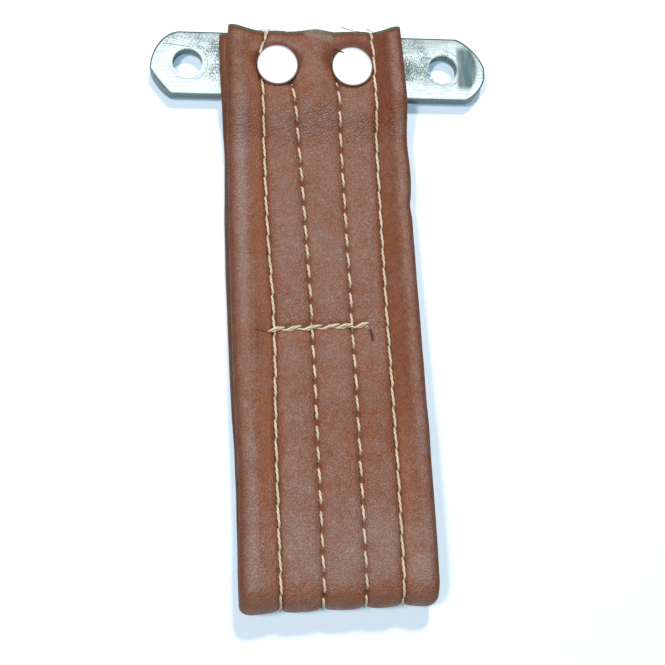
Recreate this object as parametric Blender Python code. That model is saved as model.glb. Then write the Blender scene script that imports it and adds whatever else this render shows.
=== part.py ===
"""Vinyl door pull strap.

A padded vinyl strap is folded into a loop. Both raw ends lie one on the other on the
front of a flat steel plate, and two rivets clamp them there. Four lengthwise seams and
one hand sewn bar tack across the middle are worked in heavy thread.

The strap lies on its back on a table: +Z is up, the plate runs along X at the +Y end and
the fold is at the -Y end. Metres. The origin is under the middle of the whole strap.
"""

import math

import bmesh
import bpy
from mathutils import Vector

MM = 0.001

# Room left between two pieces that touch
CLEARANCE = 0.3 * MM

# Steel backing plate
PLATE_LENGTH = 81.0 * MM
PLATE_HEIGHT = 15.9 * MM
PLATE_THICKNESS = 3.2 * MM
NOSE_DROP = 1.55 * MM
RIGHT_NOSE_DROP = 0.7 * MM
RIGHT_NOSE_FLAT = 2.4 * MM
UPPER_CORNER_LENGTH = 6.9 * MM
LOWER_CORNER_LENGTH = 4.9 * MM
SCREW_HOLE_DIAMETER = 7.0 * MM
SCREW_HOLE_INSETS = (8.9 * MM, 10.35 * MM)
SCREW_HOLE_CHAMFER = 0.6 * MM

# How full each plate corner is: 1 is a straight cut, 2 is a full ellipse.
# The two cut corners are sheared at a slant, so they are fuller at the back.
LEFT_UPPER_FULLNESS = 1.85
LEFT_LOWER_FULLNESS = 1.08
LEFT_LOWER_BACK_FULLNESS = 1.4
RIGHT_UPPER_FULLNESS = 1.4
RIGHT_UPPER_BACK_FULLNESS = 1.5
RIGHT_LOWER_FULLNESS = 1.5
CORNER_STEPS = 7

# Rivets
RIVET_PITCH = 17.9 * MM
RIVET_DROP = 2.45 * MM
HEAD_DIAMETER = 9.6 * MM
HEAD_THICKNESS = 1.1 * MM
HEAD_DOME = 0.3 * MM
SHANK_DIAMETER = 3.6 * MM
TAIL_DIAMETER = 7.0 * MM
TAIL_THICKNESS = 0.6 * MM
ROUND_STEPS = 24

# Padded strap, measured along and across its own centre line from the rivets
STRAP_WIDTH = 43.3 * MM
STRAP_REACH = 124.8 * MM
FRONT_END = 9.1 * MM
REAR_END = 8.9 * MM
STRAP_SHIFT = -1.43 * MM
STRAP_SLANT = math.radians(1.32)
REAR_PLY_SHIFT = -0.9 * MM
PANEL_THICKNESS = 3.3 * MM
ROLL_THICKNESS = 3.6 * MM
ROLL_EDGE = 2.6 * MM
LEFT_ROLL_WIDTH = 8.9 * MM
RIGHT_ROLL_WIDTH = 7.85 * MM
PANEL_CROWN = 0.15 * MM
SHOULDER_WIDTH = 0.6 * MM
SEAM_DENT = 0.15 * MM

# The loop between the two plies: closed at the rivets, open at the fold
PLY_GAP = 0.35 * MM
FOLD_GAP = 5.4 * MM
OPENING_START = 30.0 * MM
OPENING_LENGTH = 82.0 * MM
DROP_LENGTH = 8.0 * MM

# Hollows drawn in by the rivets, and the narrowing of the front ply there
SQUEEZE = 1.1 * MM
HOLLOW_REACH = 8.5 * MM
END_SAG = 0.45
TOP_PULL = 1.2 * MM
TOP_PULL_LENGTH = 20.0 * MM

# Lengthwise seams: their shares of the stitched field, how far each one leaves that
# place at the rivets, and how far the bar tack draws it to the right
SEAM_SHARES = (0.0, 0.348, 0.694, 1.0)
SEAM_SPREAD = (0.0, -2.9 * MM, -1.0 * MM, 0.0)
SEAM_SPREAD_LENGTH = 20.0 * MM
SEAM_PULL = (0.8 * MM, 0.25 * MM, 0.15 * MM, 0.0)
SEAM_PULL_LENGTH = 18.0 * MM
THREAD_DIAMETER = 0.66 * MM
THREAD_RECESS = 0.14 * MM
STITCH_PITCH = 4.72 * MM
THREAD_NECK = 0.55
THREAD_TAIL = 0.5 * MM

# Bar tack
TACK_DROP = 62.4 * MM
TACK_SLOPE = 0.022
TACK_DIAMETER = 0.9 * MM
TACK_OVERHANG = 1.3 * MM
TACK_SHORTFALL = 3.85 * MM
TACK_TURNS = 6
TACK_NECK = 0.7
TACK_SQUEEZE = 0.4 * MM
TACK_LIFT = 1.4 * MM
TACK_PINCH_LENGTH = 7.0 * MM
TACK_PINCH_FADE = 5.0 * MM

# Values that follow from the ones above
PLATE_BACK = TAIL_THICKNESS + CLEARANCE
PLATE_FRONT = PLATE_BACK + PLATE_THICKNESS
VALLEY_DEPTH = CLEARANCE + THREAD_DIAMETER + THREAD_RECESS
VALLEY_WIDTH = THREAD_DIAMETER + 2 * CLEARANCE
THREAD_HEIGHT = PANEL_THICKNESS - VALLEY_DEPTH + CLEARANCE + THREAD_DIAMETER / 2
SHANK_HOLE_DIAMETER = SHANK_DIAMETER + 2 * CLEARANCE
NEEDLE_HOLE_DIAMETER = TACK_DIAMETER + 2 * CLEARANCE
SHORT_SEAM_START = SHANK_HOLE_DIAMETER / 2 + CLEARANCE + THREAD_DIAMETER / 2
TACK_HEIGHT = CLEARANCE + TACK_DIAMETER / 2 + PANEL_CROWN
HALF_WIDTH = STRAP_WIDTH / 2
FOLD_START = STRAP_REACH - FOLD_GAP / 2 - ROLL_THICKNESS
DROP_START = PLATE_HEIGHT / 2 - RIVET_DROP + HALF_WIDTH * math.sin(STRAP_SLANT) + CLEARANCE
PLATE_RISE = PLATE_FRONT + CLEARANCE

# The plate's centre stands this far up from the middle of the whole strap
LOWEST = RIVET_DROP + STRAP_REACH * math.cos(STRAP_SLANT) + HALF_WIDTH * math.sin(STRAP_SLANT)
PLATE_Y = (LOWEST - PLATE_HEIGHT / 2) / 2


def smooth(t):
    """Ease from 0 to 1 as t goes from 0 to 1."""
    t = min(max(t, 0.0), 1.0)
    return t * t * (3 - 2 * t)


def material(name, colour, roughness, metallic):
    """A Principled material of one plain finish."""
    mat = bpy.data.materials.new(name)
    mat.use_nodes = True
    shader = mat.node_tree.nodes["Principled BSDF"]
    shader.inputs["Base Color"].default_value = (*colour, 1.0)
    shader.inputs["Roughness"].default_value = roughness
    shader.inputs["Metallic"].default_value = metallic
    mat.diffuse_color = (*colour, 1.0)
    return mat


def add_object(name, data, mat):
    """Put finished object data in the scene with its material."""
    obj = bpy.data.objects.new(name, data)
    bpy.context.scene.collection.objects.link(obj)
    if mat is not None:
        data.materials.append(mat)
    return obj


def add_mesh(name, bm, mat=None, smooth_shading=False):
    """Turn a bmesh into an object with its faces pointing out."""
    bmesh.ops.recalc_face_normals(bm, faces=bm.faces)
    mesh = bpy.data.meshes.new(name)
    bm.to_mesh(mesh)
    bm.free()
    if smooth_shading:
        mesh.shade_smooth()
        mesh.set_sharp_from_angle(angle=math.radians(35.0))
    return add_object(name, mesh, mat)


def cut(obj, cutter):
    """Take a cutter's shape out of an object."""
    cutter.hide_render = True
    cutter.display_type = "WIRE"
    modifier = obj.modifiers.new(cutter.name, "BOOLEAN")
    modifier.operation = "DIFFERENCE"
    modifier.solver = "EXACT"
    modifier.object = cutter


# Strap geometry


def on_table(across, along, height):
    """World place of a point of the strap's own plane."""
    return Vector(
        (
            STRAP_SHIFT + across * math.cos(STRAP_SLANT) + along * math.sin(STRAP_SLANT),
            PLATE_Y - RIVET_DROP + across * math.sin(STRAP_SLANT) - along * math.cos(STRAP_SLANT),
            height,
        )
    )


def seam_across(seam, along):
    """Where a seam lies across the strap."""
    first = LEFT_ROLL_WIDTH - HALF_WIDTH
    field = STRAP_WIDTH - LEFT_ROLL_WIDTH - RIGHT_ROLL_WIDTH
    spread = SEAM_SPREAD[seam] * math.exp(-max(along, 0.0) / SEAM_SPREAD_LENGTH)
    pull = SEAM_PULL[seam] * math.exp(-(((along - TACK_DROP) / SEAM_PULL_LENGTH) ** 2))
    return first + SEAM_SHARES[seam] * field + spread + pull


def rivet_hollow(across, along):
    """How far a point is drawn in by the nearest rivet, from 0 to 1."""
    reach = abs(abs(across) - RIVET_PITCH / 2)
    run = along if along > 0 else along * END_SAG
    distance = math.hypot(reach, run)
    return 1 - smooth((distance - HEAD_DIAMETER / 2 - CLEARANCE) / HOLLOW_REACH)


def tack_pinch(across, along):
    """How far a point is drawn in by the bar tack, from 0 to 1."""
    left, right = tack_ends()
    outside = max(left - across, across - right, 0.0)
    away = (along - tack_along(across)) / TACK_PINCH_LENGTH
    return math.exp(-away * away) * (1 - smooth(outside / TACK_PINCH_FADE))


def tack_ends():
    """Where the bar tack enters the strap, left and right."""
    left = seam_across(0, TACK_DROP) - TACK_OVERHANG
    right = seam_across(3, TACK_DROP) - TACK_SHORTFALL
    return left, right


def tack_along(across):
    """Where the bar tack crosses, along the strap."""
    return TACK_DROP - TACK_SLOPE * across


def gap_between(across, along):
    """Height of the space between the two plies."""
    opened = PLY_GAP + (FOLD_GAP - PLY_GAP) * smooth((along - OPENING_START) / OPENING_LENGTH)
    return opened + (PLY_GAP - opened) * tack_pinch(across, along)


def rear_inner_height(across, along):
    """Height of the rear ply's inner face: over the plate, then down on the table."""
    rise = PLATE_RISE * (1 - smooth((along - DROP_START) / DROP_LENGTH))
    drawn = SQUEEZE * rivet_hollow(across, along)
    pinch = tack_pinch(across, along)
    return rise + ROLL_THICKNESS - drawn + (TACK_LIFT - TACK_SQUEEZE) * pinch


def drawn_in(across, along):
    """Padding thickness lost at a point."""
    return SQUEEZE * rivet_hollow(across, along) + TACK_SQUEEZE * tack_pinch(across, along)


def half_width(along, turn):
    """Half the strap's width. The front ply narrows towards its riveted end."""
    if turn > 0:
        return HALF_WIDTH
    return HALF_WIDTH - TOP_PULL * math.exp(-(along + FRONT_END) / TOP_PULL_LENGTH)


def strap_point(across, above, along, turn):
    """World place of a point that stands `above` the inner face of the loop.

    turn is 0 on the front ply, pi on the rear ply, and between them round the fold.
    """
    shift = REAR_PLY_SHIFT * (1 - (along / FOLD_START) ** 2) if turn == math.pi else 0.0
    inner = rear_inner_height(across, along)
    gap = gap_between(across, along)
    if turn == 0:
        return on_table(across, along, inner + gap + above)
    if turn == math.pi:
        return on_table(across + shift, along, inner - above)
    radius = gap / 2 + above
    return on_table(
        across, along + radius * math.sin(turn), inner + gap / 2 + radius * math.cos(turn)
    )


def ply_section(along, turn):
    """The strap's section as (across, above) points, once round."""
    half = half_width(along, turn)
    lost = [drawn_in(seam_across(seam, along), along) for seam in range(4)]
    points = []

    def outer(across, above):
        points.append((across, above - drawn_in(across, along)))

    def edge(side, angles):
        for angle in angles:
            across = side * (half - ROLL_EDGE + ROLL_EDGE * math.sin(angle))
            above = ROLL_THICKNESS / 2 * (1 - math.cos(angle))
            share = above / ROLL_THICKNESS
            points.append((across, above - share * drawn_in(across, along)))

    rise = [math.pi * step / 6 for step in range(7)]
    edge(-1, rise)
    seams = [seam_across(seam, along) for seam in range(4)]
    shoulder = VALLEY_WIDTH / 2 + SHOULDER_WIDTH
    outer((ROLL_EDGE - half + seams[0] - shoulder) / 2, ROLL_THICKNESS)
    for seam, across in enumerate(seams):
        outer(across - shoulder, PANEL_THICKNESS)
        floor = PANEL_THICKNESS - VALLEY_DEPTH - lost[seam]
        points.append((across - VALLEY_WIDTH / 2, floor))
        points.append((across + VALLEY_WIDTH / 2, floor))
        outer(across + shoulder, PANEL_THICKNESS)
        if seam < 3:
            outer((across + seams[seam + 1]) / 2, PANEL_THICKNESS + PANEL_CROWN)
    outer((half - ROLL_EDGE + seams[3] + shoulder) / 2, ROLL_THICKNESS)
    edge(1, reversed(rise))
    for seam in (3, 2, 1, 0):
        points.append((seams[seam], SEAM_DENT))
        if seam > 0:
            points.append(((seams[seam] + seams[seam - 1]) / 2, 0.0))
    return points


def spread(start, stop, step):
    """Evenly spaced values from start up to, not including, stop."""
    count = max(1, math.ceil(abs(stop - start) / step))
    return [start + (stop - start) * i / count for i in range(count)]


def strap_stations():
    """(along, turn) of every section, from the front end round to the rear end."""
    settled = DROP_START + DROP_LENGTH
    tack_start = TACK_DROP - 1.8 * TACK_PINCH_LENGTH
    tack_stop = TACK_DROP + 1.8 * TACK_PINCH_LENGTH
    front = spread(-FRONT_END, settled, 2 * MM) + spread(settled, tack_start, 9 * MM)
    front += spread(tack_start, tack_stop, 3 * MM) + spread(tack_stop, FOLD_START, 8 * MM)
    rear = [along for along in front if along > -REAR_END] + [-REAR_END]
    rear.sort(reverse=True)
    fold_steps = 10
    fold = [(FOLD_START, math.pi * step / fold_steps) for step in range(1, fold_steps)]
    stations = [(along, 0.0) for along in front] + [(FOLD_START, 0.0)] + fold
    return stations + [(FOLD_START, math.pi)] + [(along, math.pi) for along in rear]


def build_strap(mat):
    """The whole loop as one body, swept from its front end to its rear end."""
    bm = bmesh.new()
    order = bm.verts.layers.int.new("order")
    stations = strap_stations()
    count = len(ply_section(*stations[0]))
    ring = bmesh.ops.create_circle(bm, cap_ends=True, radius=STRAP_WIDTH, segments=count)
    for index, vert in enumerate(ring["verts"]):
        vert[order] = index
    bm.faces.ensure_lookup_table()
    cap = bm.faces[0]
    for number, (along, turn) in enumerate(stations):
        if number > 0:
            grown = bmesh.ops.extrude_face_region(bm, geom=[cap, *cap.edges])
            cap = next(item for item in grown["geom"] if isinstance(item, bmesh.types.BMFace))
        section = ply_section(along, turn)
        for vert in cap.verts:
            across, above = section[vert[order]]
            vert.co = strap_point(across, above, along, turn)
    bmesh.ops.triangulate(bm, faces=bm.faces)
    return add_mesh("strap", bm, mat, smooth_shading=True)


def thread_path(seam):
    """Places of a seam's thread, two to a stitch, from the front end to the rear end.

    The two middle seams begin and end below the rivets, which sit on them.
    """
    half_stitch = STITCH_PITCH / 2
    short = seam in (1, 2)
    start = SHORT_SEAM_START if short else THREAD_TAIL - FRONT_END
    finish = SHORT_SEAM_START if short else THREAD_TAIL - REAR_END
    front = spread(start, FOLD_START, half_stitch)
    arc = math.pi * (FOLD_GAP / 2 + THREAD_HEIGHT)
    fold = spread(0.0, math.pi, math.pi * half_stitch / arc)
    rear = spread(FOLD_START, finish, half_stitch)
    stops = [(along, 0.0) for along in front] + [(FOLD_START, turn) for turn in fold]
    stops += [(along, math.pi) for along in rear]
    places = []
    for along, turn in stops:
        across = seam_across(seam, along)
        above = THREAD_HEIGHT - drawn_in(across, along)
        places.append(strap_point(across, above, along, turn))
    return places


def tube(name, places, depth, radii, mat, closed=False, sides=0):
    """A thread: a curve through the places with a round section."""
    curve = bpy.data.curves.new(name, "CURVE")
    curve.dimensions = "3D"
    curve.bevel_depth = depth
    curve.bevel_resolution = sides
    curve.use_fill_caps = not closed
    spline = curve.splines.new("POLY")
    spline.points.add(len(places) - 1)
    spline.use_cyclic_u = closed
    for point, place, radius in zip(spline.points, places, radii):
        point.co = (*place, 1.0)
        point.radius = radius
    return add_object(name, curve, mat)


def build_seam(seam, mat):
    """One lengthwise seam: thick along each stitch and thin where it dips."""
    places = thread_path(seam)
    radii = [1.0 if index % 2 else THREAD_NECK for index in range(len(places))]
    return tube(f"seam_thread_{seam + 1}", places, THREAD_DIAMETER / 2, radii, mat)


def build_bar_tack(mat):
    """The bar tack: one ring of twisted thread, sewn through both plies."""
    left, right = tack_ends()
    steps = 2 * TACK_TURNS
    corner = TACK_DIAMETER / 2
    places = []
    radii = []

    def stop(across, above, turn, radius=1.0):
        along = tack_along(across)
        shift = REAR_PLY_SHIFT * (1 - (along / FOLD_START) ** 2) if turn else 0.0
        lift = above - TACK_SQUEEZE * tack_pinch(across, along)
        places.append(strap_point(across - shift, lift, along, turn))
        radii.append(radius)

    front = PANEL_THICKNESS + TACK_HEIGHT
    stop(left, front - corner, 0.0)
    for step in range(steps + 1):
        across = left + corner + (right - left - 2 * corner) * step / steps
        stop(across, front, 0.0, 1.0 if step % 2 else TACK_NECK)
    stop(right, front - corner, 0.0)
    stop(right, front - corner, math.pi)
    for step in range(steps // 2 + 1):
        across = right - corner - (right - left - 2 * corner) * step / (steps // 2)
        stop(across, front, math.pi)
    stop(left, front - corner, math.pi)
    return tube("bar_tack", places, TACK_DIAMETER / 2, radii, mat, closed=True, sides=1)


# Rivets and plate


def turned(profile):
    """A solid turned about Z from (radius, height) points that start and end on the axis."""
    bm = bmesh.new()
    verts = [bm.verts.new((radius, 0.0, height)) for radius, height in profile]
    edges = [bm.edges.new(pair) for pair in zip(verts, verts[1:])]
    bmesh.ops.spin(
        bm,
        geom=verts + edges,
        cent=(0.0, 0.0, 0.0),
        axis=(0.0, 0.0, 1.0),
        angle=math.tau,
        steps=ROUND_STEPS,
        use_merge=True,
    )
    bmesh.ops.remove_doubles(bm, verts=bm.verts, dist=0.01 * MM)
    return bm


def rivet_place(side):
    """A rivet's axis: side is -1 on the left and 1 on the right."""
    return on_table(side * RIVET_PITCH / 2, 0.0, 0.0)


def build_rivet(side, name, mat):
    """Flat headed rivet: wide head in front, shank, and clinched tail behind."""
    surface = PLATE_RISE + ROLL_THICKNESS - SQUEEZE + PLY_GAP + PANEL_THICKNESS - SQUEEZE
    head_base = surface + PANEL_CROWN + CLEARANCE
    head_edge = head_base + HEAD_THICKNESS - HEAD_DOME
    head = HEAD_DIAMETER / 2
    tail = TAIL_DIAMETER / 2
    shank = SHANK_DIAMETER / 2
    profile = [(0.0, 0.0), (tail - TAIL_THICKNESS / 2, 0.0), (tail, TAIL_THICKNESS / 2)]
    profile += [(tail, TAIL_THICKNESS), (shank, TAIL_THICKNESS), (shank, head_base)]
    profile += [(head - HEAD_DOME, head_base), (head, head_base + HEAD_DOME)]
    profile += [(head, head_edge - HEAD_DOME / 2), (head - HEAD_DOME, head_edge)]
    profile += [(head * 0.6, head_base + HEAD_THICKNESS), (0.0, head_base + HEAD_THICKNESS)]
    bm = turned(profile)
    bmesh.ops.translate(bm, verts=bm.verts, vec=rivet_place(side))
    return add_mesh(name, bm, mat, smooth_shading=True)


def corner(length, height, fullness):
    """Quarter of a plate end from its nose, as (inwards, away from the nose line)."""
    points = []
    for step in range(1, CORNER_STEPS + 1):
        angle = math.pi / 2 * step / CORNER_STEPS
        inward = length * (1 - math.cos(angle) ** (2 / fullness))
        away = height * math.sin(angle) ** (2 / fullness)
        points.append((inward, away))
    return points


def plate_outline(left_upper, left_lower, right_upper, right_lower):
    """The plate's outline, once round, each corner with its own fullness."""
    nose = PLATE_LENGTH / 2
    half = PLATE_HEIGHT / 2
    flat_top = RIGHT_NOSE_FLAT / 2 - RIGHT_NOSE_DROP
    flat_end = -RIGHT_NOSE_FLAT / 2 - RIGHT_NOSE_DROP
    points = [(nose, flat_top)]
    for inward, away in corner(UPPER_CORNER_LENGTH, half - flat_top, right_upper):
        points.append((nose - inward, flat_top + away))
    for inward, away in reversed(corner(UPPER_CORNER_LENGTH, half + NOSE_DROP, left_upper)):
        points.append((inward - nose, away - NOSE_DROP))
    points.append((-nose, -NOSE_DROP))
    for inward, away in corner(LOWER_CORNER_LENGTH, half - NOSE_DROP, left_lower):
        points.append((inward - nose, -away - NOSE_DROP))
    for inward, away in reversed(corner(LOWER_CORNER_LENGTH, half + flat_end, right_lower)):
        points.append((nose - inward, flat_end - away))
    points.append((nose, flat_end))
    return points


def cylinder_cutter(name, place, diameter, bottom, top, flare=0.0):
    """An upright cutter, wider at its top by the flare."""
    bm = bmesh.new()
    bmesh.ops.create_cone(
        bm,
        cap_ends=True,
        segments=ROUND_STEPS,
        radius1=diameter / 2,
        radius2=diameter / 2 + flare,
        depth=top - bottom,
    )
    centre = Vector((place[0], place[1], (top + bottom) / 2))
    bmesh.ops.translate(bm, verts=bm.verts, vec=centre)
    return add_mesh(name, bm)


def build_plate(mat):
    """Flat plate with a screw hole in each end and two rivet holes."""
    back = plate_outline(
        LEFT_UPPER_FULLNESS,
        LEFT_LOWER_BACK_FULLNESS,
        RIGHT_UPPER_BACK_FULLNESS,
        RIGHT_LOWER_FULLNESS,
    )
    front = plate_outline(
        LEFT_UPPER_FULLNESS, LEFT_LOWER_FULLNESS, RIGHT_UPPER_FULLNESS, RIGHT_LOWER_FULLNESS
    )
    bm = bmesh.new()
    order = bm.verts.layers.int.new("order")
    verts = [bm.verts.new((x, y + PLATE_Y, PLATE_BACK)) for x, y in back]
    for index, vert in enumerate(verts):
        vert[order] = index
    base = bm.faces.new(verts)
    grown = bmesh.ops.extrude_face_region(bm, geom=[base], use_keep_orig=True)
    for item in grown["geom"]:
        if isinstance(item, bmesh.types.BMVert):
            x, y = front[item[order]]
            item.co = Vector((x, y + PLATE_Y, PLATE_FRONT))
    plate = add_mesh("backing_plate", bm, mat)
    below = PLATE_BACK - PLATE_THICKNESS
    above = PLATE_FRONT + PLATE_THICKNESS
    for side, word, inset in zip((-1, 1), ("left", "right"), SCREW_HOLE_INSETS):
        hole = (side * (PLATE_LENGTH / 2 - inset), PLATE_Y)
        cut(plate, cylinder_cutter(f"screw_hole_{word}", hole, SCREW_HOLE_DIAMETER, below, above))
        chamfer_base = PLATE_FRONT - SCREW_HOLE_CHAMFER
        cut(
            plate,
            cylinder_cutter(
                f"screw_chamfer_{word}",
                hole,
                SCREW_HOLE_DIAMETER,
                chamfer_base,
                above,
                flare=above - chamfer_base,
            ),
        )
        shank_hole = rivet_place(side)
        cut(
            plate,
            cylinder_cutter(f"plate_rivet_hole_{word}", shank_hole, SHANK_HOLE_DIAMETER, below, above),
        )
    return plate


def cut_strap_holes(strap):
    """Rivet holes and needle holes through both plies of the strap."""
    below = -PLATE_THICKNESS
    above = PLATE_RISE + 3 * ROLL_THICKNESS + FOLD_GAP
    for side, word in ((-1, "left"), (1, "right")):
        place = rivet_place(side)
        cut(
            strap,
            cylinder_cutter(f"strap_rivet_hole_{word}", place, SHANK_HOLE_DIAMETER, below, above),
        )
    for across, word in zip(tack_ends(), ("left", "right")):
        place = on_table(across, tack_along(across), 0.0)
        cut(strap, cylinder_cutter(f"needle_hole_{word}", place, NEEDLE_HOLE_DIAMETER, below, above))


def main():
    for obj in list(bpy.data.objects):
        bpy.data.objects.remove(obj, do_unlink=True)
    vinyl = material("tan_vinyl", (0.25, 0.11, 0.075), 0.5, 0.0)
    zinc = material("zinc_plated_steel", (0.72, 0.76, 0.76), 0.32, 1.0)
    bright = material("bright_rivet", (0.9, 0.9, 0.9), 0.2, 1.0)
    thread = material("cream_thread", (0.72, 0.53, 0.36), 0.75, 0.0)

    build_plate(zinc)
    strap = build_strap(vinyl)
    cut_strap_holes(strap)
    build_rivet(-1, "rivet_left", bright)
    build_rivet(1, "rivet_right", bright)
    for seam in range(4):
        build_seam(seam, thread)
    build_bar_tack(thread)


if __name__ == "__main__":
    main()
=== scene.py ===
"""Looks of a vinyl door pull strap, laid out as a Blender add-on.

A padded vinyl strap is folded into a loop and riveted to a zinc plated bar. Four rows of
heavy cream thread run round it, and a bar tack crosses its middle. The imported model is
the fixed frame: every piece takes its place from the frame's boxes, in metres, +Z up.
"""

import math
import random

import bmesh
import bpy
from bpy.props import FloatProperty, FloatVectorProperty, PointerProperty
from mathutils import Matrix, Vector, noise


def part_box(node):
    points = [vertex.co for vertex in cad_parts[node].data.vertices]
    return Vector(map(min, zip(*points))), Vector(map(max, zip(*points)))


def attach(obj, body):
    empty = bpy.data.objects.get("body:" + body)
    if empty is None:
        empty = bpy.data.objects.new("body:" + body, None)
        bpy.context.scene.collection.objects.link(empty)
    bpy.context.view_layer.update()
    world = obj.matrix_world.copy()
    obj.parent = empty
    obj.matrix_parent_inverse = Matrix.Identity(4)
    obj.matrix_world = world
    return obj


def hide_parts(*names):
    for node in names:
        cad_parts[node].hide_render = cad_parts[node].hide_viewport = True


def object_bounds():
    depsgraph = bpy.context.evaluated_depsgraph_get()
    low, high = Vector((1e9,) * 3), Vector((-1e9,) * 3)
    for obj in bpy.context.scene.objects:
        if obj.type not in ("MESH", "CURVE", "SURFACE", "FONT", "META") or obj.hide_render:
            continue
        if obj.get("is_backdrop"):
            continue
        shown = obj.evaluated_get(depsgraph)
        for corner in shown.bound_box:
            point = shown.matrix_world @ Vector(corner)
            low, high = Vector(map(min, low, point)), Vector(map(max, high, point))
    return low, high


bl_info = {
    "name": "Door Pull Strap",
    "version": (1, 0, 0),
    "blender": (4, 5, 0),
    "location": "View3D > Sidebar > Pull Strap",
    "description": "Builds a padded vinyl door pull strap with its steel bar, rivets and stitching",
    "category": "Add Mesh",
}

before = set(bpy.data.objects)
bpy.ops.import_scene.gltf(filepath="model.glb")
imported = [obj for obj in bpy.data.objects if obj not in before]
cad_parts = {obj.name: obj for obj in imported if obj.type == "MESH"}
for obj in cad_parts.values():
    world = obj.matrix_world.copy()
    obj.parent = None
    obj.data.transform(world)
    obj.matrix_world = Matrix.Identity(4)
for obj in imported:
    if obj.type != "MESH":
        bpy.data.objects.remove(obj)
cad_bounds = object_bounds()

MM = 0.001

# Room that the CAD leaves between two pieces that touch
CLEARANCE = 0.3 * MM


def smooth(t):
    """Ease from 0 to 1 as t goes from 0 to 1."""
    t = min(max(t, 0.0), 1.0)
    return t * t * (3 - 2 * t)


def bump(offset, reach):
    """A soft hill, 1 at its top and gone a little past its reach."""
    return math.exp(-((offset / reach) ** 2))


def ease(value, low, high):
    """Ease from 0 to 1 as a length goes from low to high, both in millimetres."""
    return smooth((value / MM - low) / (high - low))


def hill(value, middle, reach):
    """A soft hill over a length, its middle and its reach in millimetres."""
    return bump(value / MM - middle, reach)


def mix(low, high, share):
    """The value that lies a share of the way from low to high."""
    return low + (high - low) * share


# Settings


def length(name, description, millimetres):
    """A length that a user can change."""
    return FloatProperty(
        name=name,
        description=description,
        default=millimetres * MM,
        min=0.0,
        precision=5,
        unit="LENGTH",
        subtype="DISTANCE",
    )


def share(name, description, value):
    """A number from 0 to 1 that a user can change."""
    return FloatProperty(
        name=name, description=description, default=value, min=0.0, max=1.0, subtype="FACTOR"
    )


def colour(name, description, value):
    """A linear colour that a user can change."""
    return FloatVectorProperty(
        name=name,
        description=description,
        default=(*value, 1.0),
        size=4,
        min=0.0,
        max=1.0,
        subtype="COLOR",
    )


class VinylStrapSettings(bpy.types.PropertyGroup):
    """Sizes and colours of the padded vinyl strap."""

    width: length("Width", "Width of the strap", 43.3)
    panel_thickness: length("Panel Thickness", "Thickness between the seams", 3.3)
    roll_thickness: length("Roll Thickness", "Thickness of the rolled edges", 3.6)
    roll_swell: length("Roll Swell", "How far a rolled edge swells over its seam", 0.75)
    roll_edge: length("Roll Edge", "How far the round of a rolled edge reaches in", 2.6)
    left_roll: length("Left Roll", "Width of the left rolled edge", 8.9)
    right_roll: length("Right Roll", "Width of the right rolled edge", 7.85)
    crown: length("Panel Crown", "How far a panel swells between its seams", 0.42)
    valley_depth: length("Valley Depth", "How deep a seam draws the skin in", 0.55)
    valley_width: length("Valley Width", "Half width of a seam's valley", 0.75)
    hole_depth: length("Needle Hole Depth", "How deep a stitch pulls its needle hole", 0.35)
    squeeze: length("Rivet Squeeze", "How far the rivets press each ply in", 1.0)
    crease_depth: length("Crease Depth", "Depth of the fine creases", 0.12)
    swell_height: length("Swell Height", "Height of the soft swells", 0.13)
    # The skin's own colour; the colours after it add random tone, painted shade and painted
    # highlight.
    skin: colour("Skin", "Sheltered skin of the panels", (0.268, 0.123, 0.086))
    # Painted shade: warm dark skin where the slopes by the seams, round the rivets, below the tack
    # and over the fold turn from the light; also the warm side of the random tone.
    warm_shaded_skin: colour("Warm Skin", "Polished skin by the seams and rivets", (0.246, 0.0785, 0.029))
    # Painted highlight: the pale rosy sheen on the swells.
    highlit: colour("Rubbed Skin", "Skin rubbed pale on the swells", (0.35, 0.232, 0.205))
    # Painted shade: dark skin in the seam valleys and needle holes, round the heads and at the tack,
    # with fine soil specks; also darker skin over the right roll.
    shade_and_soil_skin: colour("Burnished Skin", "Dark skin in seams and on the right roll", (0.135, 0.032, 0.01))
    # Painted shade in an olive tone on the strap's sides; the cut ends darken to it too.
    rim: colour("Rim", "Olive backing that shows at the edges", (0.135, 0.115, 0.07))
    # The slits' dark colour: partly their bare inside, partly painted shade in them.
    slit: colour("Slit", "Bare dark inside of the needle slits", (0.07, 0.02, 0.009))
    scuff: colour("Scuff", "Pale scuffs at the top edge", (0.40, 0.34, 0.30))
    filling: colour("Filling", "Foam and cloth at the cut ends", (0.30, 0.22, 0.14))


class ThreadSettings(bpy.types.PropertyGroup):
    """Sizes and colours of the seams and the bar tack."""

    seam_diameter: length("Seam Thread", "Thickness of the seam thread", 0.64)
    tack_diameter: length("Tack Thread", "Thickness of the bar tack's thread", 0.95)
    pitch: length("Stitch Length", "Length of one stitch", 4.72)
    twist: length("Twist", "Length of one turn of the strands", 2.7)
    thread: colour("Thread", "Cream thread", (1.0, 0.89, 0.69))
    # Painted shade: the thread in the hollows between its strands and where it is drawn thin into its
    # needle holes; also its soiled blotches.
    soiled: colour("Soiled Thread", "Thread in the hollows between its strands", (0.34, 0.21, 0.11))


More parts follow.
